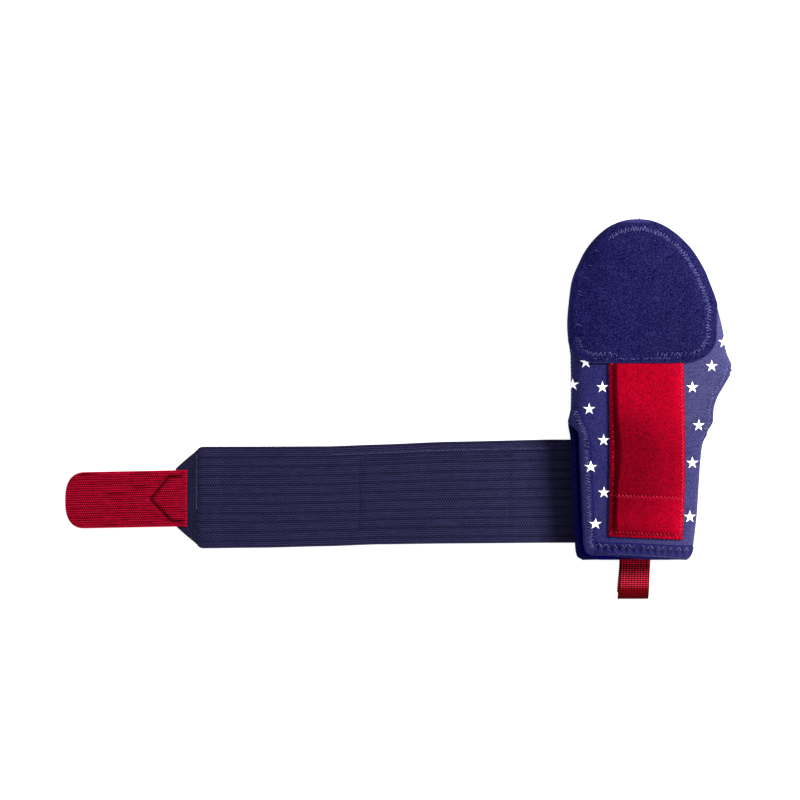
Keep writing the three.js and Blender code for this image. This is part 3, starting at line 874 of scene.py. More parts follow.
def thicken(piece, thickness, inner=0, even=True):
    """Gives a sheet its thickness, inwards. inner is the place of the inside's material."""
    solid = piece.modifiers.new("thickness", "SOLIDIFY")
    solid.thickness = thickness
    solid.offset = -1
    solid.use_even_offset = even
    solid.material_offset = inner


def round_edges(piece, width, segments=3):
    bevel = piece.modifiers.new("rounding", "BEVEL")
    bevel.width = width
    bevel.segments = segments
    bevel.limit_method = "ANGLE"
    bevel.angle_limit = math.radians(50)
    bevel.harden_normals = False


def dress(piece, node):
    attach(piece, "root")
    if node:
        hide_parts(node)


def sleeve_rows(share):
    """Places along the sleeve that crowd towards the closed end."""
    return crowded(share, 1.7)


def upward(_point):
    return Vector((0, 0, 1))


def out_of_sleeve(point):
    return point - Vector((0, min(point.y, BACK_HIGH.y - 30 * MM), SEAM_FRONT))


# Stitching

def even_path(points, spacing):
    """The points of a line again, with even spacing, each with its unit tangent."""
    lengths = [0.0]
    for a, b in zip(points, points[1:]):
        lengths.append(lengths[-1] + (b - a).length)
    count = max(2, round(lengths[-1] / spacing))
    line = []
    for k in range(count + 1):
        at = lengths[-1] * k / count
        i = clamp(bisect.bisect_left(lengths, at), 1, len(points) - 1)
        a, b = points[i - 1], points[i]
        share = (at - lengths[i - 1]) / max(1e-9, lengths[i] - lengths[i - 1])
        line.append((a.lerp(b, share), (b - a).normalized()))
    return line


def flat_line(corners):
    return [Vector((x, y, 0)) for x, y in corners]


def zigzag_holes(path, width, pitch):
    """Where the needle goes in, on one side of a path and the other by turns."""
    holes = []
    for k, (at, tangent) in enumerate(even_path(path, pitch / 2)):
        side = Vector((-tangent.y, tangent.x, 0)) * (width / 2 if k % 2 else -width / 2)
        holes.append(at + side)
    return holes


def strokes(path, width, pitch, lift, keep, seed, sway=0.3 * MM):
    """Zigzag stitches half lost in the cloth: short runs of thread, uneven in place and length.
    lift gives the height of the face below, keep the share of them that shows at a place."""
    chance = random.Random(seed)
    holes = zigzag_holes(path, width, pitch)
    threads = []
    for a, b in zip(holes, holes[1:]):
        start, end = chance.uniform(0.0, 0.25), chance.uniform(0.65, 1.0)
        shift = Vector((chance.uniform(-sway, sway), chance.uniform(-sway, sway), 0))
        shows = chance.random() < keep(a.x, a.y)
        if shows:
            threads.append(arched([a.lerp(b, start) + shift, a.lerp(b, end) + shift], lift))
    return threads


WRIST_SWAY = 0.6 * MM
THUMB_SWAY = 0.2 * MM


def always(value):
    """A function of a place that gives the same value everywhere."""
    return lambda _x, _y: value


def straight_stitches(path, stitch, course, height):
    """Straight stitches on a flat piece, each a separate run of thread. course gives the shares
    of a stitch and how proud the thread stands there, height the face below at x."""
    points = [at for at, _ in even_path(path, stitch)]
    threads = []
    for a, b in zip(points, points[1:]):
        run = [(a.lerp(b, share), proud) for share, proud in course]
        threads.append([Vector((at.x, at.y, height(at.x) + proud * MM)) for at, proud in run])
    return threads


# Along a zigzag's thread from hole to hole: the share of the way, and how proud it stands
ARCH = ((0.0, -0.25), (0.16, 0.1), (0.5, 0.26), (0.84, 0.1), (1.0, -0.25))


def arched(holes, lift):
    """Thread from hole to hole: it dips into the cloth at each and stands proud between."""
    thread = []
    for a, b in zip(holes, holes[1:]):
        for share, proud in ARCH[:-1]:
            at = a.lerp(b, share)
            thread.append(over(at.x, at.y, lift(at.x, at.y) + proud * MM))
    at = holes[-1]
    thread.append(over(at.x, at.y, lift(at.x, at.y) + ARCH[-1][1] * MM))
    return thread


def sew(name, threads, material, diameter):
    """Lines of thread as one piece of thin round tubes."""
    curve = bpy.data.curves.new(name, "CURVE")
    curve.dimensions = "3D"
    curve.bevel_depth = diameter / 2
    curve.bevel_resolution = 1
    curve.use_fill_caps = True
    for points in threads:
        spline = curve.splines.new("POLY")
        spline.points.add(len(points) - 1)
        for target, point in zip(spline.points, points):
            target.co = (*point, 1)
    rope = bpy.data.objects.new(name + "_line", curve)
    mesh = bpy.data.meshes.new_from_object(rope)
    mesh.name = name
    bpy.data.objects.remove(rope)
    bpy.data.curves.remove(curve)
    mesh.materials.clear()
    mesh.materials.append(finish_named(material))
    mesh.shade_smooth()
    piece = bpy.data.objects.new(name, mesh)
    bpy.context.scene.collection.objects.link(piece)
    dress(piece, None)
    return piece


GROOVE_STEP = 0.8 * MM


class Groove:
    """A line that stitches pull into the cloth, deeper at each stitch where it has a pitch."""

    def __init__(self, path, width, depth, pitch=0.0):
        points = [at for at, _ in even_path(path, GROOVE_STEP)]
        self.tree = kdtree.KDTree(len(points))
        for i, point in enumerate(points):
            self.tree.insert(point, i)
        self.tree.balance()
        self.width = width
        self.depth = depth
        self.turn = TURN * GROOVE_STEP / pitch if pitch else 0.0

    def at(self, x, y):
        _, index, distance = self.tree.find(Vector((x, y, 0)))
        pinch = 0.65 + 0.35 * math.cos(index * self.turn)
        return -self.depth * pinch * bell(distance, self.width)


# Outlines of the pieces on the front, in X and Y

def cap_outline(inset):
    """The cap's border, drawn inwards by a distance."""
    samples = 220
    start = CAP_FROM_WRIST / LENGTH
    bottom = y_of(start)
    border = [mix(start, 1, sleeve_rows(k / (samples - 1))) for k in range(samples)]
    sides = []
    for side, (wide, high) in ((1, CAP_CORNER_RIGHT), (-1, CAP_CORNER_LEFT)):
        line = []
        for along in border:
            y = y_of(along)
            half = cap_half(along) if side > 0 else section(along)[0]
            into = clamp(1 - (y - bottom) / high)
            line.append(Vector((side * (half - wide * corner_fall(into)), y, 0)))
        sides.append(line)
    loop = sides[0] + sides[1][::-1][1:]
    flat = [Vector((mix(loop[-1].x, loop[0].x, k / 20), bottom, 0)) for k in range(1, 20)]
    return shrink(loop + flat, inset)


def shrink(loop, inset):
    """A closed line drawn inwards."""
    count = len(loop)
    inner = []
    for i, point in enumerate(loop):
        ahead = loop[(i + 3) % count] - loop[i - 3]
        normal = Vector((-ahead.y, ahead.x, 0)).normalized()
        inner.append(point + normal * inset)
    return inner + [inner[0]]


def pad_edges(y):
    """The pad's left and right edges, which bow a little to the right between top and bottom.
    The right one draws in at the bottom."""
    share = (y - PAD_BOTTOM) / (PAD_TOP - PAD_BOTTOM)
    bow = 0.9 * MM * math.sin(math.pi * share)
    return bow - PAD_LEFT, PAD_RIGHT + bow - 1.2 * MM * bell(share, 0.16)


def pad_lines():
    """The pad's stitch lines, by name."""
    low, high = PAD_BOTTOM, PAD_TOP + 1 * MM
    cross = WRIST_Y + PAD_CREASE_FROM_WRIST
    samples = 30

    def edge_line(side, inset, start):
        heights = (mix(start, high, k / samples) for k in range(samples + 1))
        return [Vector((pad_edges(y)[side] + inset, y, 0)) for y in heights]

    left, right = pad_edges(low + 4 * MM)
    return {
        "left": edge_line(0, 2.6 * MM, low + 3 * MM),
        "right": edge_line(1, -2.2 * MM, low + 3 * MM),
        "bottom": flat_line([(left + 1 * MM, low + 3.2 * MM), (right - 1.5 * MM, low + 2.6 * MM)]),
        "cross": flat_line([
            (left + 0.6 * MM, cross + 0.9 * MM), (right + 0.3 * MM, cross - 1.1 * MM),
        ]),
    }


PAD_FLANGE = 4.3 * MM  # the flat band between the left edge and the crown
PAD_ROUND = 11 * MM
PAD_SLOPES = (2.7 * MM, 6.5 * MM)  # the crown's left slope: steep, and gentle low down
PAD_GENTLE = (-95 * MM, 22 * MM)  # where it is gentle: the middle, and how far from it


class PadFace:
    """The pad's height over the front panel."""

    def __init__(self, sizes):
        lines = pad_lines()
        self.edge = sizes.pad_edge
        self.rise = sizes.pad_rise
        self.grooves = [
            Groove(lines["left"], 1.2 * MM, 0.35 * MM),
            Groove(lines["right"], 1.5 * MM, 0.6 * MM, PAD_STITCH_PITCH),
            Groove(lines["bottom"], 1.5 * MM, 0.5 * MM, PAD_STITCH_PITCH),
            Groove(lines["cross"], 1.7 * MM, 1.1 * MM, PAD_STITCH_PITCH),
        ]

    def seam(self, x, y):
        """How much painted shade the cloth gets on its left flange and where stitches pull it in.
        """
        from_edge = x - pad_edges(y)[0]
        flange = 0.34 * (1 - ease((from_edge - 3.6 * MM) / (1.6 * MM)))
        foot = 0.1 * bell(from_edge - 4.6 * MM, 0.7 * MM)
        pulls = (0.62 * (-groove.at(x, y) / groove.depth - 0.3) for groove in self.grooves[1:])
        return clamp(max(flange, foot, *pulls))

    def lift(self, x, y):
        left, right = pad_edges(y)
        gentle = bell(y - PAD_GENTLE[0], PAD_GENTLE[1])
        in_left = (x - left - PAD_FLANGE) / mix(*PAD_SLOPES, gentle)
        from_left = mix(dome(in_left), ease(in_left), 0.7)
        from_right = dome((right - x - 1.2 * MM) / PAD_ROUND)
        from_bottom = dome((y - PAD_BOTTOM - 2.6 * MM) / PAD_ROUND)
        valley = 0.3 * MM * bell(x - left - 4.4 * MM, 0.8 * MM)
        height = mix(self.edge, self.rise, from_left * from_right * from_bottom)
        soft = rumple(Vector((x, y, 0)), 26 * MM, 0.3 * MM) * from_left * from_right
        return HEM_GAP + height - valley + soft + sum(groove.at(x, y) for groove in self.grooves)


# Operators, one for each piece or group of pieces

class MITT_OT_front_panel(bpy.types.Operator):
    """Make the sleeve's front half: domed neoprene, open at the thumb, the slit and the wrist"""
    bl_idname = "mitt.front_panel"
    bl_label = "Front panel"

    def execute(self, context):
        sizes = context.scene.mitt_sizes

        def place(across, share):
            along = sleeve_rows(share)
            start, end = crown_range(along)
            angle = mix(start, end, across)
            face = crown_point(along, angle)
            # The free edges lie even.
            inside = min(1.0, 6 * across, 6 * (1 - across))
            return on_crown(along, angle, front_rumple(face) * inside)

        bm = cloth_grid(96, 190, place)
        face_towards(bm, out_of_sleeve)
        piece = new_piece("front_panel_cloth", bm, ["neoprene", "lining"])
        thicken(piece, sizes.wall, inner=1)
        round_edges(piece, sizes.edge_round)
        dress(piece, "front_panel")
        return {"FINISHED"}


def underside(y):
    """The height of the sleeve's underside, which climbs over the strap near the wrist."""
    top = STRAP_HIGH.y
    return STRAP_LIFT * ease((top + 11 * MM - y) / (9 * MM))


def back_point(along, turn):
    """A point on the back panel's outer face. turn runs from 0 at the right edge to 1."""
    left, right, _, belly = section(along)
    left += BACK_BULGE * math.sin(math.pi * clamp((along - BACK_BULGE_START) / BACK_BULGE_LENGTH))
    y = WRIST_Y + along * LENGTH
    depth = (SEAM_BACK - underside(y)) * belly
    inset = (THUMB_INSET + 1 * MM) * thumb_share(along)
    start = math.acos(clamp(1 - inset / CORNER_RADIUS))
    corners = (min(CORNER_RADIUS, right * 0.9), min(CORNER_RADIUS, left * 0.9))
    if turn < BACK_SIDE:
        angle = mix(start, math.pi / 2, turn / BACK_SIDE)
        x = right - corners[0] * (1 - math.cos(angle))
    elif turn > 1 - BACK_SIDE:
        angle = mix(0, math.pi / 2, (1 - turn) / BACK_SIDE)
        x = corners[1] * (1 - math.cos(angle)) - left
    else:
        angle = math.pi / 2
        x = mix(right - corners[0], corners[1] - left, (turn - BACK_SIDE) / (1 - 2 * BACK_SIDE))
    return Vector((x, y, SEAM_BACK - depth * math.sin(angle)))


class MITT_OT_back_panel(bpy.types.Operator):
    """Make the sleeve's back half, which lies on the floor"""
    bl_idname = "mitt.back_panel"
    bl_label = "Back panel"

    def execute(self, context):
        sizes = context.scene.mitt_sizes
        bm = cloth_grid(80, 190, lambda across, share: back_point(sleeve_rows(share), across))
        face_towards(bm, out_of_sleeve)
        piece = new_piece("back_panel_cloth", bm, ["shaded_back_cloth", "lining"])
        thicken(piece, sizes.wall, inner=1)
        round_edges(piece, sizes.edge_round)
        dress(piece, "back_panel")
        return {"FINISHED"}


class CapFace:
    """The cap's height over the front panel."""

    def __init__(self):
        self.grooves = [
            Groove(cap_outline(CAP_STITCH_INSET), 2.3 * MM, 0.75 * MM, CAP_STITCH_PITCH),
            Groove(cap_outline(CAP_EDGE_INSET), 1.6 * MM, 0.35 * MM),
        ]

    def lift(self, x, y):
        soft = rumple(Vector((x, y, 0)), 22 * MM, 0.4 * MM)
        return CAP_TOP + soft + sum(groove.at(x, y) for groove in self.grooves)


class MITT_OT_finger_cap(bpy.types.Operator):
    """Make the brushed cap over the finger end, drawn in along its stitching"""
    bl_idname = "mitt.finger_cap"
    bl_label = "Finger cap"

    def execute(self, context):
        start = CAP_FROM_WRIST / LENGTH
        cap = CapFace()

        def angle_of(along, across):
            return mix(crown_angle(cap_half(along), section(along)[1]), math.pi, across)

        def place(across, share):
            x = crown_point(start, angle_of(start, across)).x
            half = cap_half(start) if x >= 0 else section(start)[0]
            sizes = CAP_CORNER_RIGHT if x >= 0 else CAP_CORNER_LEFT
            corner = cap_corner(abs(x), half, sizes) / LENGTH
            along = mix(start + corner, 1, sleeve_rows(share))
            angle = angle_of(along, across)
            face = crown_point(along, angle)
            reach = cap_half(along) + section(along)[0]
            below, right = (along - start - corner) * LENGTH, across * reach
            edge = min(below + CAP_RIM_LESS_BELOW, right + CAP_RIM_LESS_RIGHT,
                       (1 - across) * reach, (1 - along) * LENGTH)
            return on_crown(along, angle, cap.lift(face.x, face.y)), edge

        bm = cloth_grid(110, 130, place, marked="edge")
        face_towards(bm, out_of_sleeve)
        piece = new_piece("finger_cap_cloth", bm, ["loop_fabric"])
        thicken(piece, CAP_CLOTH)
        round_edges(piece, 0.6 * MM)
        dress(piece, "finger_cap")
        return {"FINISHED"}


class MITT_OT_center_pad(bpy.types.Operator):
    """Make the raised red pad with its sewn edges and the row of stitches across it"""
    bl_idname = "mitt.center_pad"
    bl_label = "Centre pad"

    def execute(self, context):
        sizes = context.scene.mitt_sizes
        pad = PadFace(sizes)
        scallop = 0.35 * MM  # the stitches draw the edges in by this much

        def place(across, share):
            y = mix(PAD_BOTTOM - 0.3 * MM, PAD_TOP, share)
            left, right = pad_edges(y)
            x = mix(right, left, across)
            low = bell(share, 0.01) * scallop * math.sin(x * TURN / (3.6 * MM))
            side = scallop * 0.7 * math.sin(y * TURN / (3.7 * MM))
            x += side * (bell(across, 0.01) + 0.3 * bell(1 - across, 0.01))
            return over(x, y + low, pad.lift(x, y))

        bm = cloth_grid(84, 180, place)
        face_towards(bm, upward)
        # Painted shade on the flange and along the stitches.
        mark(bm, "seam", lambda co: pad.seam(co.x, co.y))
        piece = new_piece("center_pad_cloth", bm, ["red_nap"])
        thicken(piece, PAD_CLOTH, even=False)
        round_edges(piece, 0.4 * MM, 2)
        dress(piece, "center_pad")
        return {"FINISHED"}


FOLD_START = 1.1 * MM  # the fold begins this far inside the panel's edge
FOLD_LENGTH = 6.4 * MM
FLAT_SHARE = 0.6
WIDE_FOLD = 3.2 * MM
WRIST_FOLD = 4.3 * MM
TIGHT_FOLD = 1.6 * MM


def fold_point(edge, normal, outward, distance, radius, top=HEM_TOP):
    """A hem's outer face past the panel's edge: it turns over and runs down the cut edge."""
    turn = clamp(distance / (radius * math.pi / 2))
    angle = turn * math.pi / 2
    down = max(0.0, distance - radius * math.pi / 2)
    height = top - radius + radius * math.cos(angle) - down
    reach = radius * math.sin(angle) - FOLD_START
    return edge + normal * height + outward * reach


Dents = namedtuple("Dents", "depth centre spread pitch")
SIDE_DENTS = Dents(0.8 * MM, 0.46, 0.16, 2.7 * MM)
WRIST_DENTS = Dents(1.25 * MM, 0.56, 0.22, 5.9 * MM)


# Painted shade over the whole wrist hem.
WRIST_HEM_SHADE = 0.58  # the wrist hem is at least this dark all over


def hem_row(from_inner, width, dents):
    """How near a place across a hem is to the middle of its stitches."""
    return bell(from_inner - width * dents.centre, width * dents.spread)


def hem_lift(from_inner, width, dents, at, joined=0.0):
    """A hem's height over the panel: a step up, and a row of dents where stitches pull it in. at
    is the place along it. joined takes the step away where another hem goes on."""
    inner = mix(ease(from_inner / (1.3 * MM)), 1.0, joined)
    valley = dents.depth * wave(at, dents.pitch) * hem_row(from_inner, width, dents)
    return HEM_GAP + (HEM_TOP - HEM_GAP) * inner - valley


def hem_crease_shade(from_inner, width, dents, at, joined=0.0):
    """How much painted shade a hem gets where it meets the panel and where its stitches pull it in.
    """
    step = (1 - joined) * bell(from_inner, 1.5 * MM)
    pit = wave(at, dents.pitch) ** 1.5
    return max(step, 0.75 * pit * hem_row(from_inner, width, dents))


def side_hem_edge(along):
    return max(slit_edge(along), -section(along)[0] * HEM_REACH)


def side_hem_inner(along):
    """The side hem's inner edge, which curves out to the seam at the slit's upper end."""
    straight = -(section(along)[0] - SLIT_INSET) + SIDE_HEM_WIDTH
    top = clamp((along * LENGTH - SIDE_HEM_LENGTH + SIDE_HEM_CURVE) / SIDE_HEM_CURVE)
    return straight - 15 * MM * corner_fall(top)


def thumb_hem_edge(along):
    return min(thumb_edge(along), section(along)[1] * HEM_REACH)


def mitre_x(from_wrist):
    """The line where the side hem meets the wrist hem."""
    share = clamp(from_wrist / WRIST_HEM_WIDTH)
    return mix(side_hem_edge(0), side_hem_inner(WRIST_HEM_WIDTH / LENGTH), share)


def side_hem_x(along, share):
    """A line along the side hem: share is 0 at its inner edge and 1 at the slit."""
    return mix(side_hem_inner(along), side_hem_edge(along), share)


def wrist_hem_top(x):
    """The wrist hem's upper edge, from the wrist, with its round inner corner."""
    from_side = x - side_hem_inner(WRIST_HEM_WIDTH / LENGTH)
    into = clamp(1 - from_side / HEM_FILLET)
    return WRIST_HEM_WIDTH + HEM_FILLET * corner_fall(into)


def fold_distance(share):
    """How far round the fold a share across or along the hem is."""
    return (share - FLAT_SHARE) / (1 - FLAT_SHARE) * FOLD_LENGTH


def over_edge(edge_at, along, distance, side, radius, top=HEM_TOP):
    """A point on a fold round a free edge, whose place edge_at gives."""
    small = 1e-3
    edge = edge_at(along)
    tangent = edge_at(along + small) - edge_at(max(0.0, along - small))
    normal = crown_normal(along, angle_at(along, edge.x))
    outward = tangent.cross(normal).normalized() * side
    return fold_point(edge, normal, outward, distance, radius, top)


class MITT_OT_hems(bpy.types.Operator):
    """Make the folded hems of the slit, the wrist and the thumb opening"""
    bl_idname = "mitt.hems"
    bl_label = "Hems"

    def execute(self, context):
        self.side_hem()
        self.wrist_hem()
        self.thumb_hem()
        return {"FINISHED"}

    def finish(self, name, bm, outward):
        face_towards(bm, outward)
        piece = new_piece(name + "_cloth", bm, ["neoprene"])
        thicken(piece, HEM_CLOTH, even=False)
        round_edges(piece, 0.3 * MM, 2)
        dress(piece, name)
        return piece

    def side_hem(self):
        end = SIDE_HEM_LENGTH / LENGTH

        def edge_at(along):
            return crown_point(along, angle_at(along, side_hem_edge(along)))

        def place(across, share):
            flat = min(1.0, across / FLAT_SHARE)
            if across > FLAT_SHARE:
                distance = fold_distance(across)
                # The fold tightens towards the slit's upper end; painted shade darkens it where it
                # turns into the shade.
                radius = mix(WIDE_FOLD, TIGHT_FOLD, ease((share - 0.75) / 0.2))
                point = over_edge(edge_at, mix(0, end, share), distance, -1, radius)
                return point, -0.8 * ease((distance - 1 * MM) / (3 * MM))
            start = (1 - flat) * WRIST_HEM_WIDTH / LENGTH
            along = mix(start, end, share)
            inner, edge = side_hem_inner(along), side_hem_edge(along) + FOLD_START * 0.8
            x = mix(inner, edge, flat)
            meet = mitre_x(start * LENGTH) - side_hem_x(start, flat)
            x += meet * bell((along - start) * LENGTH, 6 * MM)
            from_wrist = along * LENGTH
            joined = 1 - ease((from_wrist - WRIST_HEM_WIDTH - 2 * MM) / (4 * MM))
            angle = angle_at(along, x)
            face = crown_point(along, angle)
            width = max(inner - edge, 1 * MM)
            lift = hem_lift(flat * width, width, SIDE_DENTS, from_wrist, joined)
            # Painted shade at the step and in the stitch dents.
            crease_shade = hem_crease_shade(flat * width, width, SIDE_DENTS, from_wrist, joined)
            return on_crown(along, angle, lift + rumple(face, 12 * MM, 0.15 * MM)), crease_shade

        bm = cloth_grid(34, 190, place, marked="seam")
        piece = self.finish("side_hem", bm, lambda point: Vector((-0.6, 0, 1)))

    def wrist_hem(self):
        right_end = section(0.01)[1] * HEM_REACH
        # The cloth creases down from the pad's corner.
        fold = Groove(flat_line([(-22 * MM, -169 * MM), (-14.5 * MM, -177.5 * MM)]),
                      1.1 * MM, 0.6 * MM)

        def place(across, share):
            right = section(0)[1] * 0.99
            left = side_hem_edge(0)
            if share > FLAT_SHARE:
                distance = fold_distance(share)
                angle = angle_at(0, mix(right, left, across))
                edge = crown_point(0, angle)
                outward = (edge - crown_point(0.004, angle)).normalized()
                point = fold_point(edge, crown_normal(0, angle), outward, distance, WRIST_FOLD)
                # Painted shade where the fold turns under.
                return point, -ease((distance - 0.3 * MM) / (2.2 * MM))
            flat = share / FLAT_SHARE
            x = mix(right_end, side_hem_inner(WRIST_HEM_WIDTH / LENGTH), across)
            from_wrist = mix(wrist_hem_top(x), FOLD_START, flat)
            along = from_wrist / LENGTH
            x = mix(section(along)[1] * HEM_REACH, mitre_x(from_wrist), across)
            angle = angle_at(along, x)
            face = crown_point(along, angle)
            from_top = wrist_hem_top(x) - from_wrist
            lift = hem_lift(from_top, WRIST_HEM_WIDTH, WRIST_DENTS, x)
            pull = fold.at(face.x, face.y)
            # Painted shade: at the step and in the stitch dents, in the crease from the pad's
            # corner, and over the whole hem.
            crease_shade = hem_crease_shade(from_top, WRIST_HEM_WIDTH, WRIST_DENTS, x)
            crease_shade = max(crease_shade, -pull / (0.8 * MM), WRIST_HEM_SHADE)
            soft = rumple(face, 12 * MM, 0.15 * MM)
            return on_crown(along, angle, lift + pull + soft), crease_shade

        bm = cloth_grid(150, 36, place, marked="seam")
        piece = self.finish("wrist_hem", bm, lambda point: Vector((0, -0.6, 1)))

    def thumb_hem(self):
        start = (THUMB_FROM_WRIST + THUMB_LENGTH * 0.03) / LENGTH
        end = (THUMB_FROM_WRIST + THUMB_LENGTH * 0.98) / LENGTH

        def edge_at(along):
            return crown_point(along, angle_at(along, thumb_hem_edge(along)))

        def place(across, share):
            along = mix(start, end, share)
            ends = ease(share / 0.07) * ease((1 - share) / 0.05)
            top = THUMB_HEM_TOP * mix(0.15, 1, ends)
            if across > FLAT_SHARE:
                distance = fold_distance(across)
                point = over_edge(edge_at, along, distance, 1, TIGHT_FOLD, top)
                frayed = 0.7 * MM * bell(share - 0.93, 0.07) * math.sin(share * 90)
                return point + Vector((frayed, 0, 0)), 0.0
            flat = across / FLAT_SHARE
            from_inner = flat * (THUMB_HEM_WIDTH - FOLD_START * 0.8)
            x = thumb_hem_edge(along) - THUMB_HEM_WIDTH + from_inner
            angle = angle_at(along, x)
            pit = wave(along * LENGTH, THUMB_STITCH_PITCH)
            rows = bell(from_inner - THUMB_HEM_WIDTH * 0.35, THUMB_HEM_WIDTH * 0.25)
            low = 0.16 * MM - 0.12 * MM * pit * rows - 0.6 * MM * (1 - ends)
            point = on_crown(along, angle, mix(low, top, ease(flat) ** 3))
            # Painted shade in the stitch dents.
            return point, 0.85 * pit * rows * ends

        bm = cloth_grid(28, 150, place, marked="seam")
        piece = self.finish("thumb_hem", bm, lambda point: Vector((0.6, 0, 1)))


STAR_POINTS = 5
STAR_NOTCH = 0.365  # the inner corners' distance from the centre, as a share of the points'


class MITT_OT_star_print(bpy.types.Operator):
    """Print the white stars on the front panel"""
    bl_idname = "mitt.star_print"
    bl_label = "Star print"

    def execute(self, context):
        whole = bmesh.new()
        star = self.flat_star(context.scene.mitt_sizes.star)
        for x, y in STARS:
            whole.from_mesh(star)
            whole.verts.ensure_lookup_table()
            self.wrap(whole.verts[-len(star.vertices):], x * MM, y * MM)
        bpy.data.meshes.remove(star)
        face_towards(whole, upward)
        piece = new_piece("star_print", whole, ["star_ink"], smooth=False)
        thicken(piece, STAR_INK, even=False)
        dress(piece, None)
        return {"FINISHED"}

    def flat_star(self, width):
        """A five-pointed star in X and Y, one point up, cut fine enough to bend."""
        radius = width / 2 / math.sin(math.radians(360 / STAR_POINTS))
        corners = 2 * STAR_POINTS
        bm = bmesh.new()
        bmesh.ops.create_circle(bm, cap_ends=True, cap_tris=True, segments=corners, radius=radius)
        for vert in bm.verts:
            turn = round(math.atan2(vert.co.x, vert.co.y) / (TURN / corners))
            if turn % 2 and vert.co.length > radius / 2:
                vert.co = vert.co * STAR_NOTCH
        bmesh.ops.subdivide_edges(bm, edges=bm.edges[:], cuts=7, use_grid_fill=True)
        star = bpy.data.meshes.new("star")
        bm.to_mesh(star)
        bm.free()
        return star

    def wrap(self, verts, x, y):
        """Lays flat vertices on the sleeve's face round the place x, y."""
        for vert in verts:
            along = along_of(y + vert.co.y)
            left, right, _, _ = section(along)
            flat_x = clamp(x + vert.co.x, -left * 0.997, right * 0.997)
            angle = angle_at(along, flat_x)
            face = crown_point(along, angle)
            soft = max(0.0, front_rumple(face))
            vert.co = on_crown(along, angle, soft + self.hem_under(along, flat_x) + 0.34 * MM)

    def hem_under(self, along, x):
        """How far the side hem lifts the print."""
        inner = side_hem_inner(along)
        if along * LENGTH > SIDE_HEM_LENGTH or x > inner:
            return 0.0
        return hem_lift(inner - x, SIDE_HEM_WIDTH, SIDE_DENTS, SIDE_DENTS.pitch / 2) + 0.15 * MM


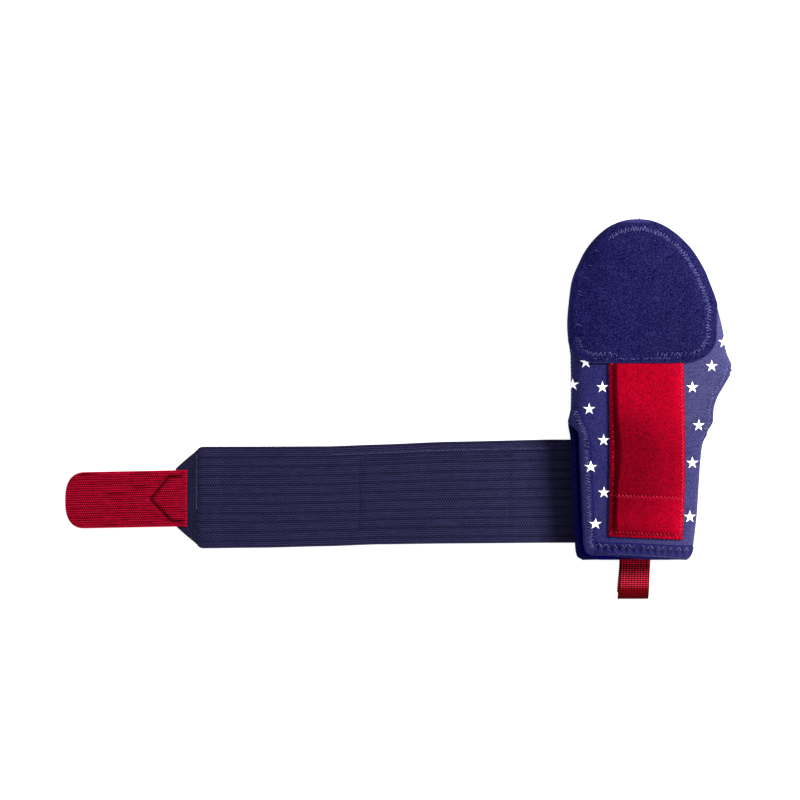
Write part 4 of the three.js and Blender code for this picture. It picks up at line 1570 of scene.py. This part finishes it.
class MITT_OT_stitching(bpy.types.Operator):
    """Sew the zigzag rows of the cap, the pad and the hems, and the side seams"""
    bl_idname = "mitt.stitching"
    bl_label = "Stitching"

    def execute(self, context):
        thread = context.scene.mitt_sizes.thread
        pad = PadFace(context.scene.mitt_sizes)
        sew("cap_stitches", self.cap_rows(), "navy_thread", thread)
        lines = pad_lines()
        rows = [arched(zigzag_holes(lines[name], 2.7 * MM, PAD_STITCH_PITCH), pad.lift)
                for name in ("right", "bottom", "cross")]
        sew("pad_stitches", rows, "red_thread", thread)
        edge = strokes(lines["left"], 2.0 * MM, 2.6 * MM, pad.lift, always(0.65), seed=5)
        sew("pad_edge_stitches", edge, "red_thread", thread * 0.85)
        sew("hem_stitches", self.hem_rows(), "pale_thread", thread)
        sew("seam_stitches", self.seam_rows(), "dark_thread", thread * 0.6)
        return {"FINISHED"}

    def cap_rows(self):
        """Stitches round the cap. The nap hides most on the left and in the bottom's middle."""
        cap = CapFace()

        def lift(x, y):
            return cap.lift(x, y) - 0.12 * MM

        def shown(x, y):
            left = (1 - ease((x + 34 * MM) / (24 * MM))) * ease((y + 2 * MM) / (10 * MM))
            return 0.92 - 0.8 * left

        def shown_low(x, _y):
            return 0.95 - 0.8 * bell(x - 5 * MM, 26 * MM)

        outline = cap_outline(CAP_STITCH_INSET)
        low = CAP_LOW.y + 11 * MM
        sides = [point for point in outline if point.y > low]
        start = max(range(len(sides)), key=lambda i: (sides[i] - sides[i - 1]).length)
        around = sides[start:] + sides[:start]
        bottom = sorted((point for point in outline if point.y <= low), key=lambda point: -point.x)
        hem = CAP_LOW.y + CAP_EDGE_INSET
        hem_line = flat_line([
            (-38 * MM, hem + 0.5 * MM), (-20 * MM, hem), (33 * MM, hem + 0.8 * MM),
        ])
        return [
            *strokes(around, 5.0 * MM, CAP_STITCH_PITCH, lift, shown, seed=11),
            *strokes(bottom, 4.2 * MM, 4.0 * MM, lift, shown_low, seed=12),
            *strokes(hem_line, 1.2 * MM, 3.6 * MM, lift, always(0.35), seed=13),
        ]

    def hem_rows(self):
        side_line = []
        for k in range(81):
            along = mix(0.018, 0.985 * SIDE_HEM_LENGTH / LENGTH, k / 80)
            inner, edge = side_hem_inner(along), side_hem_edge(along)
            from_inner = min(3.7 * MM, 0.5 * abs(edge - inner))
            side_line.append(self.flat_point(along, inner - from_inner))
        wrist_along = 7.2 * MM / LENGTH
        start = mitre_x(5.4 * MM) + 1 * MM
        end = section(wrist_along)[1] - 3 * MM
        wrist_line = [self.flat_point(wrist_along, mix(start, end, k / 40)) for k in range(41)]
        thumb_line = []
        for k in range(50):
            along = (THUMB_FROM_WRIST + THUMB_LENGTH * mix(0.04, 0.97, k / 49)) / LENGTH
            from_edge = mix(3.4 * MM, 4.6 * MM, k / 49)
            thumb_line.append(self.flat_point(along, thumb_hem_edge(along) - from_edge))
        wrist_pitch, thumb_pitch = WRIST_DENTS.pitch, THUMB_STITCH_PITCH
        thumb_lift = always(0.3 * MM)

        def wrist_lift(x, y):
            from_top = WRIST_HEM_WIDTH - along_of(y) * LENGTH
            return hem_lift(from_top, WRIST_HEM_WIDTH, WRIST_DENTS, x) + 0.12 * MM

        def side_lift(x, y):
            along = along_of(y)
            from_inner = side_hem_inner(along) - x
            return hem_lift(from_inner, SIDE_HEM_WIDTH, SIDE_DENTS, along * LENGTH) + 0.1 * MM

        return [
            *strokes(side_line, 4.2 * MM, 2.5 * MM, side_lift, always(0.9), seed=21),
            *strokes(wrist_line, 3.8 * MM, wrist_pitch, wrist_lift, always(0.9), 22, WRIST_SWAY),
            *strokes(thumb_line, 4.2 * MM, thumb_pitch, thumb_lift, always(1.0), 23, THUMB_SWAY),
        ]

    def flat_point(self, along, x):
        """The place along and x on the front, seen from above."""
        return Vector((x, y_of(along), 0))

    def seam_rows(self):
        """Zigzags over the joint of the two panels, with a thread's height of clearance."""
        reach = 1.1 * MM

        def hole(side, along, upper):
            if upper:
                rise = section(along)[2]
                angle = math.asin(clamp(reach / max(rise, reach)) ** (ROUNDNESS / 2))
                return on_crown(along, angle if side > 0 else math.pi - angle, -0.05 * MM)
            turn = BACK_SIDE * math.asin(clamp(reach / SEAM_BACK)) / (math.pi / 2)
            point = back_point(along, turn if side > 0 else 1 - turn)
            return point + Vector((side * 0.05 * MM, 0, 0))

        def row(side, start, end):
            count = round((end - start) * LENGTH / (1.7 * MM))
            holes = [hole(side, mix(start, end, k / count), k % 2) for k in range(count + 1)]
            thread = []
            for a, b in zip(holes, holes[1:]):
                middle = (a + b) / 2
                out = Vector((middle.x, max(0, middle.y - BACK_HIGH.y + 60 * MM), 0)).normalized()
                thread += [a, a.lerp(b, 0.25) + out * 0.15 * MM, a.lerp(b, 0.75) + out * 0.15 * MM]
            return thread + [holes[-1]]

        thumb = (THUMB_FROM_WRIST / LENGTH, (THUMB_FROM_WRIST + THUMB_LENGTH) / LENGTH)
        slit = SLIT_LENGTH / LENGTH
        return [row(1, 0.02, thumb[0]), row(1, thumb[1], 0.985), row(-1, slit + 0.01, 0.985)]


def smooth_route(points, count):
    """A smooth curve through a few points."""
    times = [0.0]
    for a, b in zip(points, points[1:]):
        times.append(times[-1] + math.sqrt((b - a).length))
    route = []
    for k in range(count + 1):
        at = times[-1] * k / count
        i = clamp(bisect.bisect_left(times, at), 1, len(points) - 1)
        p1, p2 = points[i - 1], points[i]
        p0 = points[i - 2] if i > 1 else p1 * 2 - p2
        p3 = points[i + 1] if i + 1 < len(points) else p2 * 2 - p1
        span = times[i] - times[i - 1]
        before = times[i - 1] - (times[i - 2] if i > 1 else times[i - 1] - span)
        after = (times[i + 1] if i + 1 < len(points) else times[i] + span) - times[i]
        m1 = (p2 - p1 + ((p1 - p0) / before - (p2 - p0) / (before + span)) * span)
        m2 = (p2 - p1 + ((p3 - p2) / after - (p3 - p1) / (span + after)) * span)
        t = (at - times[i - 1]) / span
        route.append(
            p1 * (2 * t ** 3 - 3 * t ** 2 + 1) + m1 * (t ** 3 - 2 * t ** 2 + t)
            + p2 * (3 * t ** 2 - 2 * t ** 3) + m2 * (t ** 3 - t ** 2)
        )
    return route


LOOP_STEPS = 240
LOOP_HALF = 0.6 * MM  # from the webbing's middle to its face
LOOP_SEAT = 4.3 * MM  # the back panel's wall and the gap over it
LOOP_PLIES = 1.5 * MM  # from the middle of one sewn ply to that of the other
LOOP_SKEW = 1.3 * MM
LOOP_LOWER_SKEW = 0.8 * MM


class MITT_OT_pull_loop(bpy.types.Operator):
    """Make the pull loop: ribbed webbing, folded double"""
    bl_idname = "mitt.pull_loop"
    bl_label = "Pull loop"

    def execute(self, context):
        rib = context.scene.mitt_sizes.loop_rib
        half = LOOP_HALF
        reach = WRIST_Y - LOOP_LOW.y + 0.6 * MM
        lower = STRAP_LIFT + LOOP_SEAT + half
        upper = lower + LOOP_PLIES
        top = LOOP_HIGH.z - half
        sewn = LOOP_HIGH.y - WRIST_Y
        # The middle of the webbing: how far out from the wrist, and how high
        stations = [
            (-sewn, lower), (reach * 0.05, lower), (reach * 0.28, mix(lower, half, 0.45)),
            (reach * 0.52, mix(lower, half, 0.95)), (reach * 0.8, half),
            (reach * 0.97, mix(half, top, 0.12)), (reach, mix(half, top, 0.36)),
            (reach * 0.9, mix(half, top, 0.8)), (reach * 0.7, top),
            (reach * 0.4, mix(upper, top, 0.8)), (reach * 0.05, upper + 0.15 * MM),
            (-sewn, upper),
        ]
        route = smooth_route([Vector((0, WRIST_Y - out, z)) for out, z in stations], LOOP_STEPS)
        lengths = [0.0]
        for a, b in zip(route, route[1:]):
            lengths.append(lengths[-1] + (b - a).length)
        width = LOOP_HIGH.x - LOOP_LOW.x
        middle = (LOOP_HIGH.x + LOOP_LOW.x) / 2

        def place(across, share):
            k = round(share * LOOP_STEPS)
            at = route[k]
            ahead = (route[min(LOOP_STEPS, k + 1)] - route[max(0, k - 1)]).normalized()
            normal = Vector((0, -ahead.z, ahead.y))
            out = (WRIST_Y - at.y) / reach
            # The loop leans to the left on its way out, its lower ply more.
            skew = -LOOP_SKEW * clamp(out)
            if share < 0.4:
                skew -= LOOP_LOWER_SKEW * ease(out)
            bars = wave(across * width, LOOP_BAR)
            ribs = 0.16 * MM * math.cos(TURN * lengths[k] / rib) * (0.35 + 0.65 * bars)
            selvedge = -0.2 * MM * (bell(across, 0.03) + bell(1 - across, 0.03))
            aside = middle + skew + (across - 0.5) * width
            return at + Vector((aside, 0, 0)) - normal * (half + ribs + selvedge)

        def chart(across, share):
            return (across * width, lengths[round(share * LOOP_STEPS)])

        bm = cloth_grid(66, LOOP_STEPS, place, chart)
        centre = Vector((0, WRIST_Y - reach * 0.6, mix(half, top, 0.5)))
        face_towards(bm, lambda point: Vector((0, point.y - centre.y, point.z - centre.z)))
        piece = new_piece("pull_loop_webbing", bm, ["webbing"])
        thicken(piece, LOOP_CLOTH, even=False)
        dress(piece, "pull_loop")
        return {"FINISHED"}


STRAP_WIDTH = 86 * MM
STRAP_DROP = 5.3 * MM
STRAP_MIDDLE = STRAP_HIGH.y - STRAP_ROWS[0].top * STRAP_WIDTH
STRAP_CORNER = 6 * MM
STRAP_CROWD = 1.12
STRAP_PRESSED = 6 * MM  # over this length the free end is pressed thin by its seam
END_TOP = 0.65 * MM  # the end piece's height under the strap
RAMP = 9 * MM
STRAP_COURSE = ((0.1, -0.3), (0.3, 0.1), (0.6, 0.1), (0.8, -0.3))

# The patch sewn behind the strap, and the pulled thread, from the strap's edges
PATCH_SIDES = (-233 * MM, -106.5 * MM)
PATCH_BELOW_TOP = 13 * MM
PATCH_ABOVE_BOTTOM = 14 * MM
PULLED_THREAD = (-258 * MM, -74 * MM)
PULLED_BELOW_TOP = 7.1 * MM


def strap_row(x):
    """The strap's top and bottom edges at x."""
    along = clamp((STRAP_HIGH.x - x) / (STRAP_HIGH.x - STRAP_LOW.x))
    places = [row.along for row in STRAP_ROWS]
    upper = clamp(bisect.bisect_left(places, along), 1, len(places) - 1)
    a, b = STRAP_ROWS[upper - 1], STRAP_ROWS[upper]
    share = ease((along - a.along) / (b.along - a.along)) * 0.4 + 0.6 * (
        (along - a.along) / (b.along - a.along))
    drop = mix(a.drop, b.drop, share) * STRAP_DROP
    return (
        STRAP_MIDDLE - drop + mix(a.top, b.top, share) * STRAP_WIDTH,
        STRAP_MIDDLE - drop - mix(a.bottom, b.bottom, share) * STRAP_WIDTH,
    )


def strap_base(x):
    """The strap's underside, which climbs over its end piece."""
    return END_TOP * ease((END_HIGH.x + 0.3 * MM + RAMP - x) / RAMP)


def strap_face(x):
    """The strap's upper face, pressed thin at the free end where its end piece is sewn on."""
    pressed = 0.85 * MM * (1 - ease((x - STRAP_LOW.x) / STRAP_PRESSED))
    return strap_base(x) + 1.9 * MM - pressed


class MITT_OT_wrist_strap(bpy.types.Operator):
    """Make the wide ribbed elastic strap, with the outline of a patch sewn behind it"""
    bl_idname = "mitt.wrist_strap"
    bl_label = "Wrist strap"

    def execute(self, context):
        rib = context.scene.mitt_sizes.rib
        length = STRAP_HIGH.x - STRAP_LOW.x
        seams = [Groove(line, 1.4 * MM, 0.35 * MM) for line in self.patch_lines()]

        def place(across, share):
            x = mix(STRAP_HIGH.x, STRAP_LOW.x, crowded(share, STRAP_CROWD))
            top, bottom = strap_row(x)
            into = clamp((STRAP_LOW.x + STRAP_CORNER - x) / STRAP_CORNER)
            cut = STRAP_CORNER * corner_fall(into)
            y = mix(top - cut, bottom + cut, across)
            ribs = 0.06 * MM * math.cos(TURN * (across * STRAP_WIDTH / rib - 0.5))
            edge = -0.35 * MM * (bell(y - top + cut, 1.2 * MM) + bell(y - bottom - cut, 1.2 * MM))
            soft = rumple(Vector((x, y * 0.6, 0)), 34 * MM, 0.25 * MM)
            pull = sum(seam.at(x, y) for seam in seams)
            return Vector((x, y, strap_face(x) + ribs + edge + soft + pull))

        def chart(across, share):
            return (length * crowded(share, STRAP_CROWD), across * STRAP_WIDTH)

        bm = cloth_grid(172, 150, place, chart)
        face_towards(bm, upward)
        # Painted shade along the patch's seams.
        mark(bm, "seam", lambda co: -sum(seam.at(co.x, co.y) for seam in seams) / (1.6 * MM))
        piece = new_piece("wrist_strap_cloth", bm, ["elastic"])
        thicken(piece, STRAP_CLOTH, even=False)
        dress(piece, "wrist_strap")
        rows = []
        for line in self.patch_lines():
            rows += self.stitched(line, 2.2 * MM)
        sew("strap_stitches", rows, "dark_thread", STRAP_THREAD)
        bright = self.stitched(self.bright_line(), 1.7 * MM)
        bright += self.stitched(self.end_line(), 1.3 * MM)
        sew("strap_threads", bright, "bright_thread", BRIGHT_THREAD)
        return {"FINISHED"}

    def patch_lines(self):
        corners = []
        for x in PATCH_SIDES:
            top, bottom = strap_row(x)
            corners.append((x, top - PATCH_BELOW_TOP, bottom + PATCH_ABOVE_BOTTOM))
        (x0, t0, b0), (x1, t1, b1) = corners
        return [
            flat_line([(x0, t0), (x0, b0)]), flat_line([(x1, t1), (x1, b1)]),
            flat_line([(x0, t0), (x1, t1)]), flat_line([(x0, b0), (x1, b1)]),
        ]

    def bright_line(self):
        """A pulled thread near the strap's upper edge."""
        places = (mix(*PULLED_THREAD, k / 20) for k in range(21))
        return [Vector((x, strap_row(x)[0] - PULLED_BELOW_TOP, 0)) for x in places]

    def end_line(self):
        """The sewn edge of the strap's free end."""
        x = STRAP_LOW.x + 0.5 * MM
        top, bottom = strap_row(x)
        return flat_line([(x, top - 6.5 * MM), (x, mix(top, bottom, 0.62))])

    def stitched(self, line, stitch):
        return straight_stitches(line, stitch, STRAP_COURSE, lambda x: strap_face(x) + 0.02 * MM)


class MITT_OT_strap_end(bpy.types.Operator):
    """Make the tapering piece between the strap and the tab"""
    bl_idname = "mitt.strap_end"
    bl_label = "Strap end"

    def execute(self, context):
        middle = (END_HIGH.y + END_LOW.y) / 2
        wide = (END_HIGH.y - END_LOW.y) / 2
        tip = 24 * MM
        shoulder = STRAP_LOW.x + 1 * MM

        def place(across, share):
            x = mix(END_LOW.x, END_HIGH.x, share)
            slope = clamp((x - END_LOW.x) / (shoulder - END_LOW.x))
            spread = 1.2 * MM
            half = mix(tip, wide - spread, slope ** 0.92) + spread * ease((x - shoulder) / (6 * MM))
            y = middle + (0.5 - across) * 2 * half
            soft = rumple(Vector((x, y, 0)), 14 * MM, 0.12 * MM)
            joint = 0.5 * MM * ease(1 - (STRAP_LOW.x - x) / (6 * MM))
            under = 1.05 * MM * ease((x - STRAP_LOW.x - 0.1 * MM) / (0.9 * MM))
            return Vector((x, y, END_HIGH.z - 0.15 * MM + soft + joint - under))

        def chart(across, share):
            return (share * (END_HIGH.x - END_LOW.x), across * 2 * wide)

        bm = cloth_grid(90, 40, place, chart)
        face_towards(bm, upward)
        piece = new_piece("strap_end_cloth", bm, ["end_cloth"])
        thicken(piece, END_CLOTH, even=False)
        dress(piece, "strap_end")
        return {"FINISHED"}


TAB_ROUND = 17 * MM
TAB_LEAN = (-2.7 * MM, -0.7 * MM)  # how far the middle line drops, at the free and the sewn end
TAB_CROWD = 1.9
TAB_COURSE = ((0.08, -0.5), (0.25, -0.1), (0.7, -0.1), (0.88, -0.5))
HOOK_ROUND = 13.5 * MM


class MITT_OT_closure_tab(bpy.types.Operator):
    """Make the red closure tab with its V of stitches, and the hook patch under it"""
    bl_idname = "mitt.closure_tab"
    bl_label = "Closure tab"

    def execute(self, context):
        self.tab(context.scene.mitt_sizes.tab_rib)
        self.hooks()
        return {"FINISHED"}

    def outline(self, low, high, round_length, x):
        """The half width of a strip with a rounded left end."""
        into = clamp((low.x + round_length - x) / round_length)
        return (high.y - low.y) / 2 * (1 - into ** 2.5) ** (1 / 2.5)

    def middle(self, x):
        """The height on the page of the tab's centre line, which leans down to the left."""
        share = (x - TAB_LOW.x) / (TAB_HIGH.x - TAB_LOW.x)
        return (TAB_HIGH.y + TAB_LOW.y) / 2 + mix(*TAB_LEAN, share)

    def rim(self, point):
        """How much of the tab's lighter edge shows at a point."""
        half = self.outline(TAB_LOW, TAB_HIGH, TAB_ROUND, point.x)
        inside = min(half - abs(point.y - self.middle(point.x)), point.x - TAB_LOW.x)
        return 0.8 * (1 - ease(inside / (1.5 * MM)))

    def stitch_line(self):
        """A V that points to the free end, between two short straight ends."""
        middle = (TAB_HIGH.y + TAB_LOW.y) / 2 - 0.9 * MM
        right = TAB_HIGH.x - 2.5 * MM
        return flat_line([
            (right - 3 * MM, middle + 18.8 * MM), (right - 13 * MM, middle + 18.4 * MM),
            (right - 28 * MM, middle - 0.6 * MM),
            (right - 10 * MM, middle - 19.2 * MM), (right - 2 * MM, middle - 19.0 * MM),
        ])

    def tab(self, rib):
        length = TAB_HIGH.x - TAB_LOW.x
        line = self.stitch_line()
        groove = Groove(line, 1.2 * MM, 0.75 * MM)

        def place(across, share):
            x = mix(TAB_HIGH.x, TAB_LOW.x, crowded(share, TAB_CROWD))
            half = self.outline(TAB_LOW, TAB_HIGH, TAB_ROUND, x)
            from_middle = (0.5 - across) * 2 * half
            y = self.middle(x) + from_middle
            inside = ease((x - TAB_LOW.x) / (4 * MM))
            ribs = 0.05 * MM * inside * math.cos(TURN * (from_middle / rib - 0.5))
            soft = rumple(Vector((x, y * 0.5, 0)), 18 * MM, 0.25 * MM)
            rim = -0.4 * MM * bell(half * (1 - abs(2 * across - 1)), 1.1 * MM)
            return Vector((x, y, TAB_HIGH.z + ribs + soft + rim + groove.at(x, y)))

        def chart(across, share):
            x = length * crowded(share, TAB_CROWD)
            half = self.outline(TAB_LOW, TAB_HIGH, TAB_ROUND, TAB_HIGH.x - x)
            return (x, (0.5 - across) * 2 * half)

        bm = cloth_grid(120, 110, place, chart)
        face_towards(bm, upward)
        # Painted shade along the V of stitches.
        mark(bm, "seam", lambda co: -groove.at(co.x, co.y) / (0.9 * MM))
        mark(bm, "rim", self.rim)
        piece = new_piece("closure_tab_cloth", bm, ["tab_cloth"])
        thicken(piece, TAB_CLOTH, even=False)
        dress(piece, "closure_tab")
        rows = straight_stitches(line, 2.4 * MM, TAB_COURSE, lambda _x: TAB_HIGH.z)
        sew("tab_stitches", rows, "tab_thread", TAB_THREAD)

    def hooks(self):
        middle = (HOOK_HIGH.y + HOOK_LOW.y) / 2

        def place(across, share):
            x = mix(HOOK_HIGH.x, HOOK_LOW.x, crowded(share, TAB_CROWD))
            half = self.outline(HOOK_LOW, HOOK_HIGH, HOOK_ROUND, x)
            return Vector((x, middle + (0.5 - across) * 2 * half, HOOK_HIGH.z))

        bm = cloth_grid(30, 60, place)
        face_towards(bm, upward)
        piece = new_piece("hook_patch_tape", bm, ["hook_tape"])
        thicken(piece, HOOK_TAPE, even=False)
        round_edges(piece, 0.25 * MM, 2)
        dress(piece, "hook_patch")


LAMPS = (
    # name, place and width in metres, power in watts
    ("key", (1.57, 0.73, 1.35), 0.7, 104),
    ("rim", (1.3, -0.1, 0.25), 0.4, 4),
)
AIM = Vector((0.0, -0.05, 0.0))
FLOOR_Z = -0.4 * MM
FRAME_WIDTH = 672 * MM
CAMERA_PLACE = (-199.9 * MM, -50.4 * MM, 5.0)
FOCUS_Z = 10 * MM
SENSOR = 36


class MITT_OT_stage(bpy.types.Operator):
    """Set the pale floor, the soft lights and the camera above the mitt"""
    bl_idname = "mitt.stage"
    bl_label = "Stage"

    def execute(self, context):
        self.floor()
        self.lights()
        self.camera(context)
        return {"FINISHED"}

    def floor(self):
        bm = bmesh.new()
        bmesh.ops.create_grid(bm, x_segments=1, y_segments=1, size=4)
        bmesh.ops.translate(bm, verts=bm.verts, vec=(0, 0, FLOOR_Z))
        mesh = bpy.data.meshes.new("floor")
        bm.to_mesh(mesh)
        bm.free()
        floor = bpy.data.objects.new("floor", mesh)
        bpy.context.scene.collection.objects.link(floor)
        paper = Finish("paper", 0.9)
        fibre = paper.grain(paper.place(), 0.2, 2)
        paper.colour(paper.blend(fibre, (0.44, 0.44, 0.44), (0.47, 0.47, 0.47)))
        paper.glow(0.88)
        mesh.materials.append(paper.material)

    def lights(self):
        scene = bpy.context.scene
        world = bpy.data.worlds.new("studio")
        world.use_nodes = True
        background = world.node_tree.nodes["Background"]
        background.inputs["Color"].default_value = (1, 1, 1, 1)
        background.inputs["Strength"].default_value = 0.42
        scene.world = world
        for name, place, size, power in LAMPS:
            lamp = bpy.data.lights.new(name, "AREA")
            lamp.size = size
            lamp.energy = power
            lamp_object = bpy.data.objects.new(name, lamp)
            lamp_object.location = place
            way = AIM - Vector(place)
            lamp_object.rotation_euler = way.to_track_quat("-Z", "Y").to_euler()
            scene.collection.objects.link(lamp_object)
        scene.view_settings.view_transform = "Standard"
        scene.view_settings.look = "None"

    def camera(self, context):
        """A long lens straight above, whose frame is as wide as the photograph's."""
        camera = bpy.data.cameras.new("camera")
        camera.sensor_width = SENSOR
        camera.lens = SENSOR * (CAMERA_PLACE[2] - FOCUS_Z) / FRAME_WIDTH
        camera.clip_end = 50
        eye = bpy.data.objects.new("camera", camera)
        eye.location = CAMERA_PLACE
        context.scene.collection.objects.link(eye)
        context.scene.camera = eye


PIECES = (
    MITT_OT_front_panel, MITT_OT_back_panel, MITT_OT_finger_cap, MITT_OT_center_pad,
    MITT_OT_hems, MITT_OT_star_print, MITT_OT_stitching, MITT_OT_pull_loop,
    MITT_OT_wrist_strap, MITT_OT_strap_end, MITT_OT_closure_tab, MITT_OT_stage,
)


class MITT_PT_panel(bpy.types.Panel):
    """Lists the mitt's pieces"""
    bl_idname = "MITT_PT_panel"
    bl_label = "Sliding mitt"
    bl_space_type = "VIEW_3D"
    bl_region_type = "UI"
    bl_category = "Mitt"

    def draw(self, context):
        for group in (context.scene.mitt_sizes, context.scene.mitt_colours):
            for name in group.bl_rna.properties.keys():
                if name not in ("rna_type", "name"):
                    self.layout.prop(group, name)
        for piece in PIECES:
            self.layout.operator(piece.bl_idname)


CLASSES = (MittSizes, MittColours, *PIECES, MITT_PT_panel)


def register():
    for cls in CLASSES:
        bpy.utils.register_class(cls)
    bpy.types.Scene.mitt_sizes = bpy.props.PointerProperty(type=MittSizes)
    bpy.types.Scene.mitt_colours = bpy.props.PointerProperty(type=MittColours)


def unregister():
    del bpy.types.Scene.mitt_sizes
    del bpy.types.Scene.mitt_colours
    for cls in reversed(CLASSES):
        bpy.utils.unregister_class(cls)


def main():
    register()
    for piece in PIECES:
        group, name = piece.bl_idname.split(".")
        getattr(getattr(bpy.ops, group), name)()


if __name__ == "__main__":
    main()
